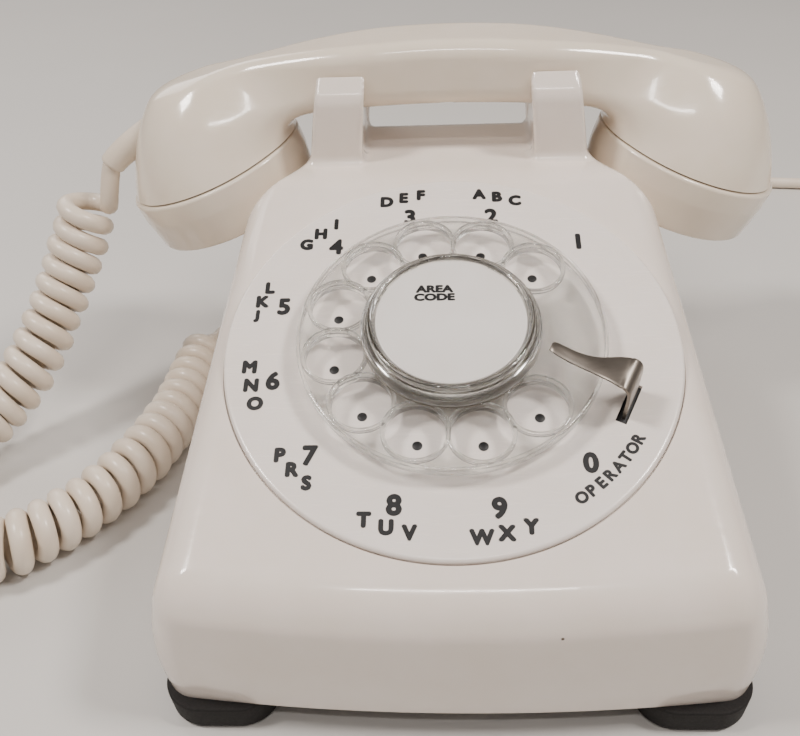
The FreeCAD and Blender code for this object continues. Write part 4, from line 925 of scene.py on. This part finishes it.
def ring_of(name, mesh, count, radius, first, step, finish):
    """Geometry Nodes that set copies of a mesh round a circle and paint them."""
    tree = bpy.data.node_groups.new(name, "GeometryNodeTree")

    def socket(label, kind, way="INPUT"):
        return tree.interface.new_socket(label, in_out=way, socket_type="NodeSocket" + kind).identifier

    socket("Geometry", "Geometry")
    inputs = {socket("Count", "Int"): count, socket("Radius", "Float"): radius,
              socket("First", "Float"): first, socket("Step", "Float"): step}
    socket("Geometry", "Geometry", "OUTPUT")
    given = add(tree, "NodeGroupInput").outputs
    index = add(tree, "GeometryNodeInputIndex").outputs[0]
    angle = maths(tree, "ADD", maths(tree, "MULTIPLY", index, given["Step"]), given["First"])
    spot = add(tree, "ShaderNodeCombineXYZ", links={"X": maths(tree, "COSINE", angle),
                                                    "Y": maths(tree, "SINE", angle)})
    away = add(tree, "ShaderNodeVectorMath", links={0: spot.outputs[0], "Scale": given["Radius"]},
               operation="SCALE")
    points = add(tree, "GeometryNodePoints", links={"Count": given["Count"], "Position": away.outputs[0]})
    copies = add(tree, "GeometryNodeInstanceOnPoints",
                 links={"Points": points.outputs[0], "Instance": given["Geometry"]})
    real = add(tree, "GeometryNodeRealizeInstances", links={"Geometry": copies.outputs[0]})
    paint = add(tree, "GeometryNodeSetMaterial", {"Material": FINISHES[finish]},
                {"Geometry": real.outputs[0]})
    add(tree, "NodeGroupOutput", links={"Geometry": paint.outputs[0]})
    thing = loose_object(name, mesh)
    modifier = thing.modifiers.new(name, "NODES")
    modifier.node_group = tree
    for identifier, value in inputs.items():
        modifier[identifier] = value
    return baked_mesh(thing, name)


def make_dots():
    """The dots on the plate that show through the finger holes."""
    dot = lathe("dot", ((0, 0.005), (1.3, 0.005), (1.35, 0.03), (1.3, 0.06), (0, 0.07)), 32)
    dots = ring_of("hole_dots", dot, HOLES, 32.8, math.radians(44.0), HOLE_STEP, "black_enamel")
    piece("hole_dots", dots, DIAL, "base", "number_plate_white")


def make_finger_wheel():
    """The clear wheel and hub, the cup in the hub with two steel rings under the hub that paint the dark
    bands of shade at its edges, and the card on it.
    """
    rings = [(0, 0, 41.2, 192), (0, 0, 3.4, 48)]
    rings += [(*around(HOLE_CIRCLE, HOLE_FIRST + k * HOLE_STEP).xy, HOLE_RADIUS, 64) for k in range(HOLES)]
    disc = flat_cut("wheel_disc", rings, 3.2, 5.2, 0.3)
    lip = lathe("lip", (
        (41.21, 3.3), (41.9, 3.3), (42.0, 3.6), (42.0, 6.4), (41.0, 6.6), (40.9, 5.25), (41.21, 5.2),
        (41.21, 3.3)), 192, 0.4)
    collar = lathe("collar", (
        (HOLE_RADIUS, 5.22), (HOLE_RADIUS, 6.8), (9.0, 6.8), (9.0, 5.22), (HOLE_RADIUS, 5.22)), 64, 0.35)
    collars = ring_of("hole_collars", collar, HOLES, HOLE_CIRCLE, HOLE_FIRST, HOLE_STEP, "clear_plastic")
    wheel = smooth(joined("clear_finger_wheel", disc, lip, collars), 30)
    piece("clear_finger_wheel", wheel, DIAL, "finger_wheel", "clear_plastic", "finger_wheel")
    hub = lathe("clear_hub", (
        (20.6, 7.1), (20.6, 12.2), (21.3, 12.65), (22.0, 12.45), (22.5, 11.6), (23.2, 11.3), (23.5, 10.3),
        (24.1, 9.9), (24.3, 9.2), (24.3, 7.1), (23.3, 7.1), (23.0, 8.3), (22.2, 8.6), (21.8, 7.1),
        (20.6, 7.1)), 160, 0.3)
    piece("clear_hub", hub, DIAL, "finger_wheel", "clear_plastic", "hub_ring", finish="clear_thick")
    cup = lathe("hub_cup", (
        (0, 5.3), (19.6, 5.3), (19.8, 6.9), (20.5, 7.0), (20.5, 10.6), (20.25, 11.0), (0, 11.0)), 128, 0.15)
    piece("hub_cup", cup, DIAL, "finger_wheel", "card_white", "card_holder")
    # painted shade: two rings of satin steel under the clear hub stand in for the dark bands of shade at its
    # edges
    for name, radius, rise in (("inner_shade_ring", 20.85, 7.05), ("outer_shade_ring", 23.9, 6.6)):
        inner, outer, low = radius - 0.4, radius + 0.4, rise - 0.35
        line = lathe(name, ((inner, rise), (outer, rise), (outer, low), (inner, low), (inner, rise)),
                     128, 0.08)
        piece(f"hub_{name}", line, DIAL, "finger_wheel", "polished_steel", finish="satin_steel")
    card = lathe("card_disc", ((0, 11.05), (20.2, 11.05), (20.2, 11.75), (19.3, 11.9), (0, 11.9)), 128, 0.3)
    piece("card_disc", card, DIAL, "finger_wheel", "card_white", "number_card")


def make_finger_stop():
    """A steel strip: a narrow tip over the wheel that widens, humps and dives into its slot.
    Each station is its run from the slot, its height, its half width and its sideways bend."""
    stations = (
        (22.4, 12.0, 1.1, 0.0), (21.9, 12.3, 1.55, 0.0), (19.5, 12.25, 1.7, 0.15), (16.0, 11.9, 1.8, 0.25),
        (12.0, 11.7, 2.1, 0.2), (8.5, 12.0, 2.9, 0.1), (5.5, 12.6, 3.9, 0.0), (3.0, 12.9, 4.6, 0.0),
        (1.2, 12.6, 4.9, 0.0), (0.1, 11.6, 5.0, 0.0), (-0.35, 10.0, 5.0, 0.0), (-0.45, 7.0, 4.9, 0.0),
        (-0.45, 3.0, 4.8, 0.0), (-0.45, -0.5, 4.6, 0.0), (-0.45, -5.5, 4.5, 0.0))
    knots, fine = np.linspace(0, 1, len(stations)), np.linspace(0, 1, 60)
    path = evened(np.stack([np.interp(fine, knots, values) for values in zip(*stations)], axis=1), 5)
    made = bmesh.new()
    rows, across = [], 12
    for run, high, half, bend in path:
        row = []
        for k in range(across + 1):
            v = -half + 2 * half * k / across
            arch = 0.35 * (1 - (v / half) ** 2) - 0.35
            row.append(made.verts.new((run, v + bend * 3.0, high + arch * (1 if run > 2 else 0))))
        rows.append(row)
    for one, two in zip(rows, rows[1:]):
        for k in range(across):
            made.faces.new((one[k], two[k], two[k + 1], one[k + 1]))
    bmesh.ops.recalc_face_normals(made, faces=made.faces)
    thing = loose_object("strip", mesh_of(made, "finger_stop_strip"))
    thick = thing.modifiers.new("thickness", "SOLIDIFY")
    thick.thickness, thick.offset = 0.95, 0.0
    edge = thing.modifiers.new("edge", "BEVEL")
    edge.width, edge.segments, edge.limit_method, edge.angle_limit = 0.22, 2, "ANGLE", math.radians(50)
    piece("finger_stop_strip", smooth(baked_mesh(thing, "finger_stop_strip"), 40), DIAL @ STOP_ROOT, "base",
          "polished_steel", "finger_stop", finish="satin_steel")


# ---- feet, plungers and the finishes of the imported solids

def make_feet():
    """Four moulded pads with broad round corners, each a turned rim stretched over its oblong."""
    pads = []
    for side, end in ((-1, -1), (-1, 1), (1, -1), (1, 1)):
        pad = lathe("pad", ((0, 0.0), (9.6, 0.0), (10.6, 1.0), (11.2, 8.95), (0, 8.95)), 64, 0.8)
        for vert in pad.vertices:
            u, v = vert.co.x, vert.co.y
            vert.co.x = side * 62.6 + u + math.copysign(4.6, u) * min(1.0, abs(u) / 0.5)
            vert.co.y = end * 91.3 + v + math.copysign(0.8, v) * min(1.0, abs(v) / 0.5)
        pads.append(pad)
    piece("rubber_feet", smooth(joined("rubber_feet", *pads)), Matrix(), "base", "brown_rubber", "feet")


def make_plungers():
    outline = ((0, 84.3), (5.2, 84.3), (5.2, 86.2), (3.5, 86.3), (3.5, 110.2), (2.4, 111.0), (0, 111.0))
    for side, name in ((-1, "left"), (1, "right")):
        piece(f"{name}_plunger_pin", lathe(f"{name}_plunger_pin", outline, 48, 0.6),
              shift((side * PLUNGER_SIDE, HANDSET_BACK, 0)), "plungers", "white_nylon",
              f"{name}_plunger")


def make_materials():
    """Every finish, under the name of its slot."""
    plastic, clear, soft = moulded_plastic, clear_acrylic, soft_material
    return {slot: kind(*values) for slot, kind, *values in (
        ("ivory_housing", plastic, "polished_ivory_abs", "EFE4DB", "E9DDD1", "5B4A3C", 0.13),
        ("ivory_handset", plastic, "polished_aged_ivory_abs", "EBDFCF", "E4D6C2", "5B4A3C", 0.12),
        ("number_plate_white", plastic, "printed_plate_enamel", "F0E8E2", "EBE1D8", "4A4038", 0.2, 1.6, 0.2),
        ("clear_plastic", clear, "cast_clear_acrylic"),
        ("clear_thick", clear, "cast_clear_acrylic_hub", "F2F1EF", 1.0),
        ("clear_plug", clear, "clear_polycarbonate", "F4F3EE"),
        ("polished_steel", metal, "brushed_stainless_steel", "B9B4AE", "A59F98", 0.2, 0.2),
        ("satin_steel", metal, "satin_stainless_steel", "8C857D", "766F67", 0.3, 0.2),
        ("zinc_steel", metal, "zinc_plated_steel", "B4B1A4", "9F9C93", 0.35, 0.3),
        ("brass", metal, "machined_brass", "C9A35A", "B58F4A", 0.26, 0.25),
        ("gong_brass", metal, "spun_gong_brass", "BFA06A", "A98A57", 0.3, 0.35, (12.0, 12.0, 1.0)),
        ("gold_contact", metal, "gold_plated_contact", "E2BE63", "D5AC52", 0.15, 0.1),
        ("card_white", soft, "printed_card_paper", "E4E0DC", "DED9D3", 0.42, 0.35, 0.08, 0.15),
        ("brown_rubber", soft, "moulded_brown_rubber", "0C0605", "070403", 0.7, 0.6, 0.3),
        ("black_plastic", soft, "black_phenolic", "18181A", "232325", 0.35, 0.5, 0.15),
        ("black_enamel", soft, "black_printing_ink", "0E0E10", "17171A", 0.4, 0.4, 0.05),
        ("black_base", soft, "black_baked_enamel", "1B1B1D", "252527", 0.3, 0.8, 0.2, 0.3),
        ("white_nylon", soft, "white_nylon", "E8E5DC", "DEDACE", 0.4, 0.5, 0.08),
        ("cord_ivory", soft, "ivory_vinyl_jacket", "E6DACB", "DCCDBA", 0.3, 0.9, 0.06, 0.18),
        ("coil_tape", soft, "varnished_coil_tape", "8C3A26", "6F2A1C", 0.45, 0.3, 0.3),
    )}


def finish_packed_solids():
    """Every solid that still shows gets the finish of its slot."""
    slots = {
        "zinc_steel": "housing_screws dial_frame return_spring dial_bracket ringer_frame gong_screws "
                      "volume_bracket hookswitch_bracket hookswitch_lever",
        "polished_steel": "dial_shaft governor_shaft hookswitch_pin",
        "brass": "governor_cup terminal_screws drive_gear idler_gear governor_weights clapper",
        "gong_brass": "low_gong high_gong",
        "coil_tape": "ringer_coils",
        "black_plastic": "pulse_contacts terminal_board hookswitch_contacts pulse_cam volume_wheel "
                         "transmitter_unit receiver_unit",
        "black_base": "base_plate network_can",
        "white_nylon": "transmitter_contacts receiver_contacts",
        "cord_ivory": "handset_cord_grommet line_cord_grommet",
    }
    for slot, names in slots.items():
        for name in names.split():
            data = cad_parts[name].data
            data.materials.clear()
            painted(data, slot)


make_camera()
make_studio()
FINISHES = make_materials()
for make in (make_line_cord, make_curly_cord, make_strain_relief, make_housing, make_handset,
             make_number_plate, make_lettering, make_dots, make_finger_wheel, make_finger_stop,
             make_feet, make_plungers, finish_packed_solids):
    make()
